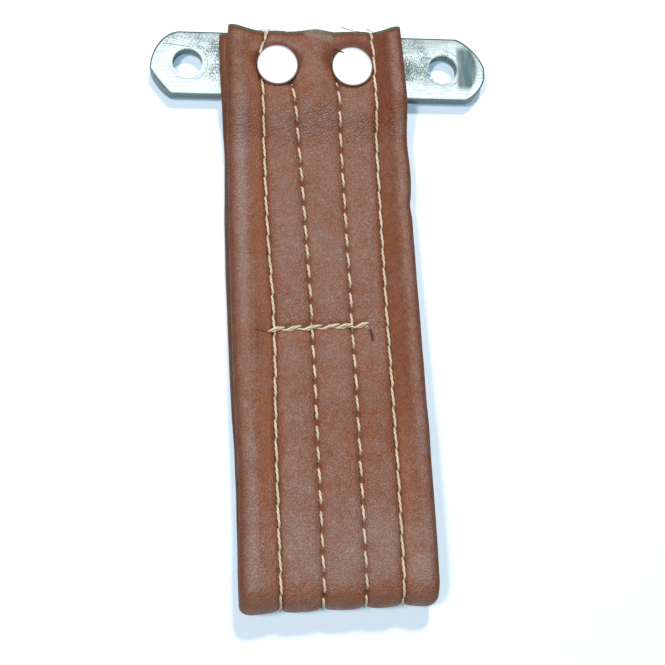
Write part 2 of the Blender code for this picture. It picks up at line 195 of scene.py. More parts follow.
class MetalSettings(bpy.types.PropertyGroup):
    """Finish of the plated bar and the rivets, with the reflections painted on the bar."""

    edge: length("Worn Edge", "Rounding of the bar's front edge", 0.42)
    chamfer: length("Hole Chamfer", "Width of the shallow chamfer round the screw holes", 1.1)
    chamfer_depth: length("Chamfer Depth", "Depth of that chamfer", 0.06)
    zinc: colour("Zinc", "Bright zinc plating", (0.70, 0.765, 0.765))
    dull_zinc: colour("Dull Zinc", "Zinc dulled by handling", (0.19, 0.262, 0.265))
    # Painted reflection: a bright band on the bar's right end.
    nose: colour("Bright Nose", "Bright band at the bar's right end", (0.88, 0.95, 0.95))
    # Painted reflection: a dark crescent by the right screw hole, greener on its outer side.
    dark_reflection: colour("Smudge", "Dark crescent beside the right screw hole", (0.125, 0.19, 0.215))
    green_dark_reflection: colour("Green Smudge", "Its greener outer side", (0.115, 0.205, 0.2))
    # The sheared sides in two tones: a dark upper band, and a bluish lower band that is a painted
    # reflection of the floor's shadow.
    sheared: colour("Sheared Edge", "Upper part of the bar's sheared sides", (0.11, 0.155, 0.135))
    shaded_side: colour("Shaded Side", "Lower part of the sheared sides", (0.24, 0.35, 0.42))
    bright: colour("Rivet", "Bright plating of the rivets", (0.93, 0.935, 0.93))


class StudioSettings(bpy.types.PropertyGroup):
    """Floor, lamps and camera."""

    lens: FloatProperty(
        name="Lens", description="Focal length", default=59.55, min=10.0, unit="CAMERA"
    )
    back_lamp: share("Back Lamp", "Light on the floor from the lamp behind the plate", 0.48)
    left_lamp: share("Left Lamp", "Light on the floor from the lamp on the left", 0.42)
    room: share("Room", "Light on the floor from the room", 0.12)
    floor: colour("Floor", "White table", (0.87, 0.89, 0.9))
    glow: colour("Glow", "What the camera sees besides the table's own light", (0.19, 0.315, 0.415))


def settings(name):
    """The scene's settings of one kind."""
    return getattr(bpy.context.scene, name)


# The strap's own geometry


def centre(node):
    """Middle of a node's box."""
    low, high = (Vector(corner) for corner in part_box(node))
    return (low + high) / 2


# Marks on the front ply as (across, along) of both ends and a width, in millimetres
NEEDLE_SLITS = (((-16.2, 62.75), (-13.4, 63.15), 0.14), ((10.05, 63.4), (10.35, 65.7), 0.32))
# A dark mark at the right head's edge.
HEAD_DARK_MARK = ((4.1, -2.9), (5.1, -2.3), 0.16)
CREASES = (
    ((-3.1, 5.2), (-4.3, 9.1), 0.45),
    ((-12.2, 41.0), (-5.7, 41.3), 0.5),
    ((-0.9, 47.0), (2.4, 50.3), 0.5),
    ((6.9, 29.0), (11.9, 32.4), 0.5),
    ((-15.7, 60.0), (-13.4, 62.0), 0.3),
)
TOP_SCUFF = ((-1.5, -9.0), (3.2, -7.8), 1.3)
# Loose fibres as points (across, along), in millimetres
TOP_FIBRES = (
    ((6.2, -10.3), (7.3, -10.1), (8.4, -9.4), (10.6, -9.3), (12.2, -8.9)),
    ((12.4, -9.9), (12.9, -9.5), (13.6, -9.2), (14.6, -8.6)),
)
# Scratch on the bar, from the middle of its left screw hole, in millimetres
BAR_SCRATCH = ((-5.7, 4.7), (-2.1, 4.35), (0.6, 4.05))
# How far each rivet's head leans over the plate, in millimetres, how much it is spread, and
# the height over which it leans
HEAD_LEAN = {"rivet_left": (-0.22, -0.22), "rivet_right": (-0.48, -0.6)}
HEAD_SPREAD = 1.02
LEAN_HEIGHT = 4.0
# Burr at the right rivet as points (across, along, over the head), in millimetres
HEAD_BURR = ((4.3, -3.8, -0.5), (5.0, -3.3, 0.05), (5.7, -3.0, 0.1), (6.6, -2.6, 0.06))


def from_segment(spot, start, finish):
    """Distance of a spot from a straight mark, all as pairs."""
    spot, start, finish = Vector(spot), Vector(start), Vector(finish)
    line = finish - start
    through = min(max((spot - start).dot(line) / line.length_squared, 0.0), 1.0)
    return (spot - start - through * line).length


class StrapShape:
    """Where the strap's surfaces lie, worked out from the frame.

    A point is given by how far it is across the strap, how far it stands above the
    inner face of the loop, how far along it is from the rivets, and its turn: 0 on the
    front ply, pi on the rear ply and between them round the fold. The run is the way
    along the thread, from the front end, round the fold, to the rear end.
    """

    FRONT_END = 9.1 * MM
    REAR_END = 8.9 * MM
    REAR_SHIFT = -0.9 * MM
    PLY_GAP = 0.35 * MM
    OPENING_START = 30 * MM
    OPENING_LENGTH = 82 * MM
    DROP_LENGTH = 8 * MM
    REST = 0.12 * MM
    BRIDGE = 1.7
    HOLLOW_REACH = 8.5 * MM
    END_SAG = 0.45
    END_PULL = 0.8 * MM
    FRONT_SLACK = 0.25 * MM
    SEAM_LEAN = (1.15 * MM, 0.0, 0.0, -0.25 * MM)
    EDGE_WANDER = 0.14 * MM
    TOP_PULL = 1.2 * MM
    TOP_PULL_LENGTH = 20 * MM
    SEAM_SHARES = (0.0, 0.348, 0.694, 1.0)
    SEAM_SPREAD = (0.0, -2.9 * MM, -1.0 * MM, 0.0)
    SEAM_SPREAD_LENGTH = 20 * MM
    SEAM_PULL = (0.8 * MM, 0.25 * MM, 0.15 * MM, 0.0)
    SEAM_PULL_LENGTH = 18 * MM
    TACK_DROP = 62.4 * MM
    TACK_SLOPE = 0.022
    TACK_OVERHANG = 1.3 * MM
    TACK_SHORTFALL = 3.85 * MM
    TACK_TURNS = 6
    TACK_SQUEEZE = 0.4 * MM
    TACK_LIFT = 1.4 * MM
    TACK_PINCH_LENGTH = 7 * MM
    TACK_PINCH_FADE = 5 * MM

    def __init__(self):
        self.look = settings("vinyl_strap")
        self.sewing = settings("strap_thread")
        left, right = centre("rivet_left"), centre("rivet_right")
        self.middle = (left + right) / 2
        self.rivet_reach = (right - left).length / 2
        self.slant = math.atan2(right.y - left.y, right.x - left.x)
        low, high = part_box("strap")
        plate_low, plate_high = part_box("backing_plate")
        rivet_low, rivet_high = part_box("rivet_left")
        self.head_radius = (rivet_high[0] - rivet_low[0]) / 2
        self.heads = []
        for side, node in ((-1, "rivet_left"), (1, "rivet_right")):
            x, y = (HEAD_LEAN[node][axis] * MM for axis in (0, 1))
            cos, sin = math.cos(self.slant), math.sin(self.slant)
            self.heads.append((side * self.rivet_reach + x * cos + y * sin, x * sin - y * cos))
        self.half = self.look.width / 2
        self.fold_gap = high[2] - low[2] - 2 * self.look.roll_thickness
        corner = (self.half - self.look.roll_edge) * math.tan(self.slant)
        self.reach = (self.middle.y - low[1]) / math.cos(self.slant) - corner
        self.fold_start = self.reach - self.fold_gap / 2 - self.look.roll_thickness
        self.rise = plate_high[2] + CLEARANCE
        self.drop_start = (self.middle.y - plate_low[1]) + self.half * math.sin(self.slant)
        self.drop_start += CLEARANCE
        valley = self.look.panel_thickness - self.look.valley_depth
        self.thread_height = valley + self.sewing.seam_diameter * 0.36
        self.fold_run = math.pi * (self.fold_gap / 2 + self.thread_height)
        self.last_run = 2 * self.fold_start + self.fold_run + self.REAR_END

    def on_table(self, across, along, height):
        """World place of a point of the strap's own plane."""
        cos, sin = math.cos(self.slant), math.sin(self.slant)
        x = self.middle.x + across * cos + along * sin
        y = self.middle.y + across * sin - along * cos
        return Vector((x, y, height))

    def station(self, run):
        """How far along, and the turn, at a run of the thread."""
        if run < self.fold_start:
            return run, 0.0
        if run < self.fold_start + self.fold_run:
            return self.fold_start, math.pi * (run - self.fold_start) / self.fold_run
        return 2 * self.fold_start + self.fold_run - run, math.pi

    def seam(self, row, along):
        """Where a seam lies across the strap."""
        first = self.look.left_roll - self.half
        field = self.look.width - self.look.left_roll - self.look.right_roll
        spread = self.SEAM_SPREAD[row] * math.exp(-max(along, 0.0) / self.SEAM_SPREAD_LENGTH)
        pull = self.SEAM_PULL[row] * bump(along - self.TACK_DROP, self.SEAM_PULL_LENGTH)
        lean = self.SEAM_LEAN[row] * (ease(-along, 3, 9) - 0.3 * hill(along, -2, 3))
        return first + self.SEAM_SHARES[row] * field + spread + pull + lean

    def tack_ends(self):
        """Where the bar tack enters the strap, left and right."""
        left = self.seam(0, self.TACK_DROP) - self.TACK_OVERHANG
        right = self.seam(3, self.TACK_DROP) - self.TACK_SHORTFALL
        return left, right

    def tack_along(self, across):
        """Where the bar tack crosses, along the strap."""
        return self.TACK_DROP - self.TACK_SLOPE * across

    def from_rivet(self, across, along):
        """Distance to the middle of the nearest rivet's head."""
        return min(math.hypot(across - x, along - y) for x, y in self.heads)

    def hollow(self, across, along):
        """How far the two rivets draw a point in, from 0 to 1."""
        run = along if along > 0 else along * self.END_SAG
        drawn = []
        for side in (-self.rivet_reach, self.rivet_reach):
            distance = math.hypot(across - side, run) - self.head_radius - CLEARANCE
            drawn.append(1 - smooth(distance / self.HOLLOW_REACH))
        return min(math.hypot(*drawn), 1.0)

    def pinch(self, across, along):
        """How far the bar tack draws a point in, from 0 to 1."""
        left, right = self.tack_ends()
        outside = max(left - across, across - right, 0.0)
        away = bump(along - self.tack_along(across), self.TACK_PINCH_LENGTH)
        return away * (1 - smooth(outside / self.TACK_PINCH_FADE))

    def gap(self, across, along):
        """Height of the space between the two plies."""
        opened = smooth((along - self.OPENING_START) / self.OPENING_LENGTH)
        opened = mix(self.PLY_GAP, self.fold_gap, opened)
        return mix(opened, self.PLY_GAP, self.pinch(across, along))

    def rear_inner(self, across, along, turn):
        """Height of the rear ply's inner face: over the plate, then down on the table.

        The front ply bridges the plate's edge with a longer slope.
        """
        slope = 1.0 if turn else self.BRIDGE
        past = (along - self.drop_start) / (slope * self.DROP_LENGTH)
        over_plate = self.rise * (1 - smooth(past))
        drawn = self.look.squeeze * self.hollow(across, along)
        lift = (self.TACK_LIFT - self.TACK_SQUEEZE) * self.pinch(across, along)
        return over_plate + self.look.roll_thickness - drawn + lift

    def drawn_in(self, across, along):
        """Padding thickness lost at a point."""
        squeezed = self.look.squeeze * self.hollow(across, along)
        return squeezed + self.TACK_SQUEEZE * self.pinch(across, along)

    def sides(self, along, turn):
        """The strap's left and right edges, with the wander of a hand made edge."""
        pull = 0.0
        if turn == 0:
            pull = self.TOP_PULL * math.exp(-(along + self.FRONT_END) / self.TOP_PULL_LENGTH)
        drift = Vector((along / (9 * MM), turn, 0.0))
        left = -self.half + pull + self.EDGE_WANDER * noise.noise(drift)
        right = self.half - pull + self.EDGE_WANDER * noise.noise(drift + Vector((0, 0, 7.3)))
        left += 0.5 * MM * hill(along, 96, 15)
        if turn == 0:
            right += MM * (0.25 * hill(along, 26, 5) - 0.35 * hill(along, 33.5, 2.2))
        return left, right

    def cut_slack(self, across, turn):
        """How far the hand cut ends reach past their even line."""
        if turn:
            return 0.0
        lean = (across + self.half) / (2 * self.half)
        corner = (across / self.half) ** 4
        return mix(self.FRONT_SLACK, 0.0, smooth(lean * 1.6)) + 0.3 * MM * corner

    def place(self, across, above, along, turn):
        """World place of a point that stands `above` the inner face of the loop."""
        shift = 0.0
        if turn == math.pi:
            shift = self.REAR_SHIFT * (1 - (along / self.fold_start) ** 2)
            shift *= 1 - 0.7 * hill(along, 20, 12)
        inner = self.rear_inner(across, along, turn)
        gap = self.gap(across, along)
        pulled = self.END_PULL * self.hollow(across, 0.0) - self.cut_slack(across, turn)
        pulled *= smooth(-along / self.FRONT_END)
        if turn == 0:
            return self.on_table(across, along + pulled, inner + gap + above)
        if turn == math.pi:
            return self.on_table(across + shift, along + pulled, self.rested(inner - above))
        radius = gap / 2 + above
        height = self.rested(inner + gap / 2 + radius * math.cos(turn))
        return self.on_table(across, along + radius * math.sin(turn), height)

    def rested(self, height):
        """A height near the table, where the padding lies flat on it."""
        if height > self.REST:
            return height
        return self.REST * math.exp(height / self.REST - 1)


class Needle:
    """Where the needle holes of one seam lie along the thread."""

    PITCH_SHARES = (1.0, 0.99, 1.027, 0.99)
    FIRST_HOLES = (2.6 * MM, 0.6 * MM, 1.5 * MM, 1.9 * MM)
    INNER_INSET = 4.2 * MM
    JITTER = 0.03
    LAST_HOLE = 0.3

    def __init__(self, shape, row):
        self.row = row
        self.outer = row in (0, 3)
        rng = random.Random(40 + row)
        pitch = shape.sewing.pitch * self.PITCH_SHARES[row]
        self.start, self.finish = -shape.FRONT_END, shape.last_run
        if not self.outer:
            self.start = self.INNER_INSET
            self.finish -= shape.REAR_END + self.INNER_INSET
        self.holes = []
        run = self.start + self.FIRST_HOLES[row]
        while run < self.finish - pitch * self.LAST_HOLE:
            self.holes.append(run)
            run += pitch * rng.uniform(1 - self.JITTER, 1 + self.JITTER)
        self.pitch = pitch

    def nearest(self, run):
        """Distance along the thread to the nearest hole."""
        guess = int((run - self.holes[0]) / self.pitch)
        near = self.holes[max(guess - 3, 0) : guess + 5] or self.holes[-1:]
        return min(abs(run - hole) for hole in near)

    def stitch(self, run):
        """Number of the stitch at a run, and how far through it the run is."""
        count = sum(1 for hole in self.holes if hole <= run)
        low = self.holes[count - 1] if count else self.start
        high = self.holes[count] if count < len(self.holes) else self.finish
        return count, (run - low) / max(high - low, 1e-6)


# Mesh making


def add_object(name, data):
    """A new object in the scene."""
    item = bpy.data.objects.new(name, data)
    bpy.context.scene.collection.objects.link(item)
    return item


def new_body():
    """An empty bmesh that keeps UV places."""
    bm = bmesh.new()
    bm.loops.layers.uv.new("UVMap")
    return bm


def new_mesh(name, bm):
    """The mesh made of a bmesh, which is freed."""
    mesh = bpy.data.meshes.new(name)
    bm.to_mesh(mesh)
    bm.free()
    return mesh


def finish_piece(name, bm, materials, *nodes, slot=None):
    """Turn a bmesh into a smooth piece that rides on the part and stands for CAD nodes."""
    bmesh.ops.recalc_face_normals(bm, faces=bm.faces)
    mesh = new_mesh(name, bm)
    mesh.shade_smooth()
    piece = add_object(name, mesh)
    for material in materials:
        mesh.materials.append(material)
    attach(piece, "root")
    if nodes:
        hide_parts(*nodes)
    return piece


def wrap_grid(bm, around, rows, shape_vertex):
    """Roll a grid into a closed tube. shape_vertex sets a vertex from its column and row."""
    made = bmesh.ops.create_grid(
        bm, x_segments=around, y_segments=rows, size=0.5, calc_uvs=True
    )
    for vert in made["verts"]:
        column = round((vert.co.x + 0.5) * around) % around
        row = round((vert.co.y + 0.5) * rows)
        shape_vertex(vert, column, row)
    bmesh.ops.remove_doubles(bm, verts=made["verts"], dist=0.0001 * MM)
    verts = [vert for vert in made["verts"] if vert.is_valid]
    rims = {edge for vert in verts for edge in vert.link_edges if edge.is_boundary}
    return bmesh.ops.holes_fill(bm, edges=list(rims), sides=0)["faces"]


# Nodes


class Nodes:
    """Adds nodes to one tree, each a column past what feeds it."""

    COLUMN = 230
    ROW = 200

    def __init__(self, tree):
        self.tree = tree
        self.rows = {}

    def feed(self, node, inputs):
        """Set or link a node's inputs, and place it past the nodes that feed it."""
        for key, value in dict(inputs).items():
            if isinstance(value, bpy.types.NodeSocket):
                self.tree.links.new(value, node.inputs[key])
            else:
                node.inputs[key].default_value = value
        feeds = [link.from_node.location.x for socket in node.inputs for link in socket.links]
        column = round(max(feeds, default=-self.COLUMN) / self.COLUMN) + 1
        self.rows[column] = self.rows.get(column, -1) + 1
        node.location = (column * self.COLUMN, -self.rows[column] * self.ROW)
        return node

    def add(self, kind, inputs=(), **values):
        """Add a node of a kind with its values and inputs."""
        node = self.tree.nodes.new(kind)
        for key, value in values.items():
            setattr(node, key, value)
        return self.feed(node, inputs)

    def math(self, operation, *inputs, clamp=False):
        """Output of one Math node."""
        inputs = dict(enumerate(inputs))
        return self.add("ShaderNodeMath", inputs, operation=operation, use_clamp=clamp).outputs[0]

    def times(self, first, second):
        """Product of two values."""
        return self.math("MULTIPLY", first, second)

    def more(self, first, second):
        """The greater of two values."""
        return self.math("MAXIMUM", first, second)

    def vector(self, operation, *inputs):
        """Output of one Vector Math node."""
        node = self.add("ShaderNodeVectorMath", dict(enumerate(inputs)), operation=operation)
        return node.outputs["Value" if operation in ("DOT_PRODUCT", "LENGTH") else "Vector"]

    def split(self, vector):
        """The three parts of a vector."""
        return self.add("ShaderNodeSeparateXYZ", {0: vector}).outputs

    def flat(self, x, y):
        """A vector made of two parts."""
        return self.add("ShaderNodeCombineXYZ", {0: x, 1: y}).outputs[0]

    def mix(self, factor, low, high):
        """The colour a factor of the way from low to high."""
        inputs = {"Factor": factor, 6: low, 7: high}
        return self.add("ShaderNodeMix", inputs, data_type="RGBA").outputs[2]

    def ramp(self, value, low, high, start=0.0, end=1.0):
        """Value remapped smoothly from low..high to start..end."""
        inputs = {"Value": value, "From Min": low, "From Max": high, "To Min": start, "To Max": end}
        return self.add("ShaderNodeMapRange", inputs, interpolation_type="SMOOTHSTEP").outputs[0]

    def noise(self, vector, scale, detail=2.0, roughness=0.5, distortion=0.0):
        """Output of one Noise Texture."""
        inputs = {"Vector": vector, "Scale": scale, "Detail": detail}
        inputs.update({"Roughness": roughness, "Distortion": distortion})
        return self.add("ShaderNodeTexNoise", inputs).outputs["Fac"]

    def mapped(self, vector, **inputs):
        """A vector turned or stretched by one Mapping node."""
        return self.add("ShaderNodeMapping", {"Vector": vector, **inputs}).outputs[0]

    def painted(self, name):
        """A mark painted on the mesh, from 0 to 1."""
        return self.add("ShaderNodeAttribute", attribute_name=name).outputs["Fac"]

    def relief(self, height, distance, strength=1.0, invert=False):
        """Normal of a fine relief."""
        inputs = {"Height": height, "Distance": distance, "Strength": strength}
        return self.add("ShaderNodeBump", inputs, invert=invert).outputs[0]

    def group(self, name, build, **inputs):
        """Outputs of a node group, built the first time that a material asks for it."""
        tree = bpy.data.node_groups.get(name) or build(name)
        inputs = {key.replace("_", " "): value for key, value in inputs.items()}
        return self.add("ShaderNodeGroup", inputs, node_tree=tree).outputs

    def line(self, place, start, finish, width):
        """Mask of one straight line between two world places, looking down."""
        ends = {"Start": start, "End": finish}
        return self.group("Straight Mark", build_mark, Vector=place, Width=width, **ends)["Mask"]


class Group(Nodes):
    """A node group with vector and float inputs and float outputs."""

    def __init__(self, name, outputs, **inputs):
        super().__init__(bpy.data.node_groups.new(name, "ShaderNodeTree"))
        sockets = self.tree.interface
        for label, value in inputs.items():
            kind = "NodeSocketVector" if value is None else "NodeSocketFloat"
            label = label.replace("_", " ")
            socket = sockets.new_socket(name=label, in_out="INPUT", socket_type=kind)
            if value is not None:
                socket.default_value = value
        for label in outputs:
            sockets.new_socket(name=label, in_out="OUTPUT", socket_type="NodeSocketFloat")
        self.given = self.add("NodeGroupInput").outputs
        self.end = self.tree.nodes.new("NodeGroupOutput")

    def give(self, **outputs):
        """The group's tree, with what it gives out."""
        self.feed(self.end, outputs)
        return self.tree


class Finish(Nodes):
    """A material's nodes, with its shader and its Object coordinates."""

    def __init__(self, name):
        self.material = bpy.data.materials.new(name)
        self.material.use_nodes = True
        super().__init__(self.material.node_tree)
        self.shader = self.tree.nodes["Principled BSDF"]
        self.coordinates = self.add("ShaderNodeTexCoord").outputs
        self.place = self.coordinates["Object"]

    def handling(self, blotch, speck):
        """Masks of blotches and fine soil of two sizes."""
        sizes = {"Blotch_Size": blotch, "Speck_Size": speck}
        marks = self.group("Handling Marks", build_handling, Vector=self.place, **sizes)
        return marks["Blotches"], marks["Specks"]

    def scratches(self, spacing):
        """Mask of crossing scratches."""
        marks = self.group("Plating Scratches", build_scratches, Vector=self.place, Spacing=spacing)
        return marks["Scratches"]

    def done(self, **inputs):
        """The material, with its shader fed."""
        inputs = {key.replace("_", " "): value for key, value in inputs.items()}
        self.feed(self.shader, inputs)
        output = self.tree.nodes["Material Output"]
        output.location = (self.shader.location.x + 2 * self.COLUMN, 0)
        return self.material


def build_handling(name):
    """Blotches and fine soil that years of handling leave on any surface."""
    nodes = Group(name, ("Blotches", "Specks"), Vector=None, Blotch_Size=0.01, Speck_Size=0.0006)
    vector, blotch, speck = nodes.given[:3]
    blotch, speck = (nodes.math("DIVIDE", 1.0, size) for size in (blotch, speck))
    wide = nodes.noise(vector, blotch, detail=3.0, roughness=0.6, distortion=0.4)
    fine = nodes.noise(vector, speck, roughness=0.7)
    return nodes.give(Blotches=nodes.ramp(wide, 0.36, 0.64), Specks=nodes.ramp(fine, 0.5, 0.72))


def build_strands(name):
    """Fine fibres that run at a slant round a twisted thread."""
    nodes = Group(name, ("Fibres", "Fuzz"), UV=None, Turns=100.0)
    around, along, _ = nodes.split(nodes.given["UV"])
    along = nodes.times(along, nodes.given["Turns"])
    slant = nodes.math("ADD", around, along)
    wave = nodes.math("SINE", nodes.times(slant, 56.5))
    fibres = nodes.math("MULTIPLY_ADD", wave, 0.5, 0.5)
    fuzz = nodes.noise(nodes.flat(around, along), 9.0, detail=3.0, roughness=0.7)
    return nodes.give(Fibres=fibres, Fuzz=fuzz)


def build_scratches(name):
    """Short crossing scratches on plated metal."""
    nodes = Group(name, ("Scratches",), Vector=None, Spacing=0.0012)
    scale = nodes.math("DIVIDE", 1.0, nodes.given["Spacing"])
    lines = []
    for angle, stretch in ((0.12, 0.06), (1.1, 0.09), (-0.5, 0.12)):
        turned = nodes.mapped(nodes.given["Vector"], Rotation=(0, 0, angle), Scale=(stretch, 1, 1))
        value = nodes.noise(turned, scale, detail=1.0)
        apart = nodes.math("ABSOLUTE", nodes.math("SUBTRACT", value, 0.5))
        lines.append(nodes.ramp(apart, 0.0, 0.012, 1.0, 0.0))
    return nodes.give(Scratches=nodes.more(nodes.more(lines[0], lines[1]), lines[2]))


# Height that only the front ply reaches
FRONT_HEIGHT = 3.9 * MM


def build_mark(name):
    """A straight mark on the front ply, solid on its line and soft past its width."""
    nodes = Group(name, ("Mask",), Vector=None, Start=None, End=None, Width=0.0002)
    vector, start, finish, width = nodes.given[:4]
    flat = (1.0, 1.0, 0.0)
    place, start, finish = (nodes.vector("MULTIPLY", spot, flat) for spot in (vector, start, finish))
    offset = nodes.vector("SUBTRACT", place, start)
    line = nodes.vector("SUBTRACT", finish, start)
    along, whole = (nodes.vector("DOT_PRODUCT", part, line) for part in (offset, line))
    through = nodes.math("DIVIDE", along, whole, clamp=True)
    spot = nodes.add("ShaderNodeVectorMath", {0: line, "Scale": through}, operation="SCALE")
    away = nodes.vector("LENGTH", nodes.vector("SUBTRACT", offset, spot.outputs["Vector"]))
    mask = nodes.ramp(nodes.math("DIVIDE", away, width), 0.4, 1.3, 1.0, 0.0)
    front = nodes.math("GREATER_THAN", nodes.split(vector)["Z"], FRONT_HEIGHT)
    return nodes.give(Mask=nodes.times(mask, front))


# Materials


def draw_mark(nodes, place, mark):
    """Mask of one straight mark, given in strap coordinates."""
    shape = StrapShape()
    start, finish, width = mark
    corners = [shape.place(x * MM, 0.0, y * MM, 0.0) for x, y in (start, finish)]
    return nodes.line(place, *corners, width * MM)


def vinyl_material():
    """Grained vinyl: painted shade in warm tones beside the seams, and a cooler, rosier painted
    highlight in the panels.
    """
    look = settings("vinyl_strap")
    nodes = Finish("tan_vinyl_skin")
    place = nodes.place
    blotches, specks = nodes.handling(0.009, 0.0007)
    warm_shade, dark, highlight = (nodes.painted(name) for name in ("warm_shade", "darkness", "highlight"))
    mottle = nodes.ramp(nodes.noise(place, 230.0, detail=4.0, roughness=0.68), 0.4, 0.6)
    scattered = nodes.ramp(nodes.noise(place, 1900.0, roughness=0.6), 0.38, 0.62, -0.17, 0.17)
    blotched = nodes.math("MULTIPLY_ADD", blotches, 0.22, scattered)
    # Painted highlight, broken up by random tone.
    highlight = nodes.math("ADD", highlight, nodes.math("SUBTRACT", blotched, 0.11), clamp=True)
    # Random tone between the skin and the warm colour, then the warm painted shade.
    base = nodes.mix(nodes.times(mottle, 0.8), look.skin, look.warm_shaded_skin)
    base = nodes.mix(warm_shade, base, look.warm_shaded_skin)
    base = nodes.mix(highlight, base, look.highlit)
    # Dark painted shade from the darkness marks, with fine soil specks; the darkest places take the
    # olive rim colour.
    shade_and_soil = nodes.math("MULTIPLY_ADD", specks, 0.16, dark)
    base = nodes.mix(nodes.ramp(shade_and_soil, 0.0, 0.5, 0.0, 0.85), base, look.shade_and_soil_skin)
    base = nodes.mix(nodes.ramp(dark, 0.55, 0.85), base, look.rim)
    crooked = nodes.add("ShaderNodeTexNoise", {"Vector": place, "Scale": 900.0, "Detail": 1.0})
    shaken = nodes.vector("MULTIPLY_ADD", crooked.outputs["Color"], (0.00025, 0.00025, 0.0), place)
    # The needle slits and the mark by the right head are painted dark, the slits partly for the shade
    # in them.
    for mark in (*NEEDLE_SLITS, HEAD_DARK_MARK):
        base = nodes.mix(draw_mark(nodes, shaken, mark), base, look.slit)
    patchy = nodes.ramp(specks, 0.0, 1.0, 0.35, 1.0)
    base = nodes.mix(nodes.times(draw_mark(nodes, shaken, TOP_SCUFF), patchy), base, look.scuff)

    cells = {"Vector": place, "Scale": 1500.0}
    cells = nodes.add("ShaderNodeTexVoronoi", cells, feature="DISTANCE_TO_EDGE").outputs["Distance"]
    ripple = nodes.noise(place, 1100.0, detail=3.0, roughness=0.7)
    grain = nodes.math("MULTIPLY_ADD", nodes.ramp(cells, 0.0, 0.28), 0.45, ripple)
    grain = nodes.times(grain, nodes.ramp(warm_shade, 0.3, 0.8, 1.0, 0.65))
    gloss = nodes.math("MULTIPLY_ADD", dark, 0.35, nodes.ramp(mottle, 0.0, 1.0, 0.38, 0.52))
    grain = nodes.relief(grain, 0.0003, strength=0.95)
    return nodes.done(Base_Color=base, Normal=grain, Roughness=gloss, Specular_IOR_Level=0.75)


def filling_material():
    """Cloth and foam that show at the strap's cut ends."""
    look = settings("vinyl_strap")
    nodes = Finish("cut_end_filling")
    blotches, _ = nodes.handling(0.0015, 0.0003)
    base = nodes.mix(blotches, look.filling, look.skin)
    fluff = nodes.relief(nodes.noise(nodes.place, 5000.0), 0.0002)
    return nodes.done(Base_Color=base, Normal=fluff, Roughness=0.9)


def thread_material(name, turns):
    """Twisted cream thread: pale on its crowns, with painted shade between its strands and at its
    needle holes, and soiled blotches.
    """
    look = settings("strap_thread")
    nodes = Finish(name)
    strands = nodes.group("Thread Strands", build_strands, UV=nodes.coordinates["UV"], Turns=turns)
    blotches, _ = nodes.handling(0.004, 0.0004)
    # Painted shade from the groove mark, with soiled blotches.
    shade = nodes.math("MULTIPLY_ADD", nodes.painted("groove"), 0.62, nodes.times(blotches, 0.18))
    base = nodes.mix(shade, look.thread, look.soiled)
    height = nodes.math("ADD", strands["Fibres"], strands["Fuzz"])
    fuzz = nodes.relief(height, 0.00003, strength=0.7)
    return nodes.done(Base_Color=base, Normal=fuzz, Roughness=0.62, Sheen_Weight=0.25)


def fibre_material():
    """Loose dark fibres of the top edge, and the burr at the right rivet."""
    nodes = Finish("loose_fibres")
    tone = nodes.noise(nodes.place, 900.0, detail=1.0)
    base = nodes.mix(tone, (0.05, 0.018, 0.008, 1.0), (0.16, 0.06, 0.03, 1.0))
    return nodes.done(Base_Color=base, Roughness=0.8)


def reflected_end(nodes):
    """Masks of the painted dark reflection in a crescent by the right screw hole, of the painted
    bright reflection on the nose, and of the crescent's green side.
    """
    bar = BarShape()
    hole, end = bar.screw_holes[1].x, bar.high.x
    x, y, _ = nodes.split(nodes.place)
    rise = nodes.math("SUBTRACT", y, bar.middle.y + 0.3 * MM)
    bowed = nodes.math("ADD", x, nodes.times(nodes.times(rise, rise), 60.0))
    near = nodes.ramp(x, hole + 2.9 * MM, hole + 4.4 * MM)
    far = nodes.ramp(bowed, end - 2.3 * MM, end - 1.6 * MM, 1.0, 0.0)
    lower = nodes.ramp(rise, -6.2 * MM, -4.2 * MM)
    upper = nodes.ramp(rise, 4.2 * MM, 6.2 * MM, 1.0, 0.0)
    crescent = nodes.times(nodes.times(near, far), nodes.times(lower, upper))
    streak = nodes.noise(nodes.mapped(nodes.place, Scale=(1.4, 0.18, 1.0)), 1100.0)
    crescent = nodes.times(crescent, nodes.ramp(streak, 0.3, 0.62, 0.74, 1.0))
    nose = nodes.math("SUBTRACT", bowed, end - 1.6 * MM)
    nose = nodes.math("MULTIPLY", nose, 1 / (0.4 * MM), clamp=True)
    return crescent, nose, nodes.ramp(x, hole + 4.0 * MM, hole + 7.5 * MM)


def handled_field(nodes):
    """How far handling has dulled the bar's face: least along its lower side."""
    bar = BarShape()
    x, y, _ = nodes.split(nodes.place)
    middle = bar.middle.y
    left, right = (hole.x for hole in bar.screw_holes)
    rise = nodes.ramp(y, middle - 5.2 * MM, middle - 2.6 * MM)
    outer = nodes.ramp(x, left + 3.0 * MM, left + 6.0 * MM)
    upper = nodes.ramp(y, middle + 2.0 * MM, middle + 5.0 * MM, 0.0, 0.55)
    end = nodes.ramp(x, right + 1.0 * MM, right + 4.0 * MM, 1.0, 0.0)
    over = nodes.ramp(y, middle + 2.6 * MM, middle + 4.4 * MM)
    beside = nodes.ramp(x, right - 7.0 * MM, right - 3.0 * MM)
    corner = nodes.times(nodes.times(over, beside), 0.7)
    end = nodes.math("SUBTRACT", end, corner, clamp=True)
    return nodes.times(rise, nodes.times(nodes.more(outer, upper), end))


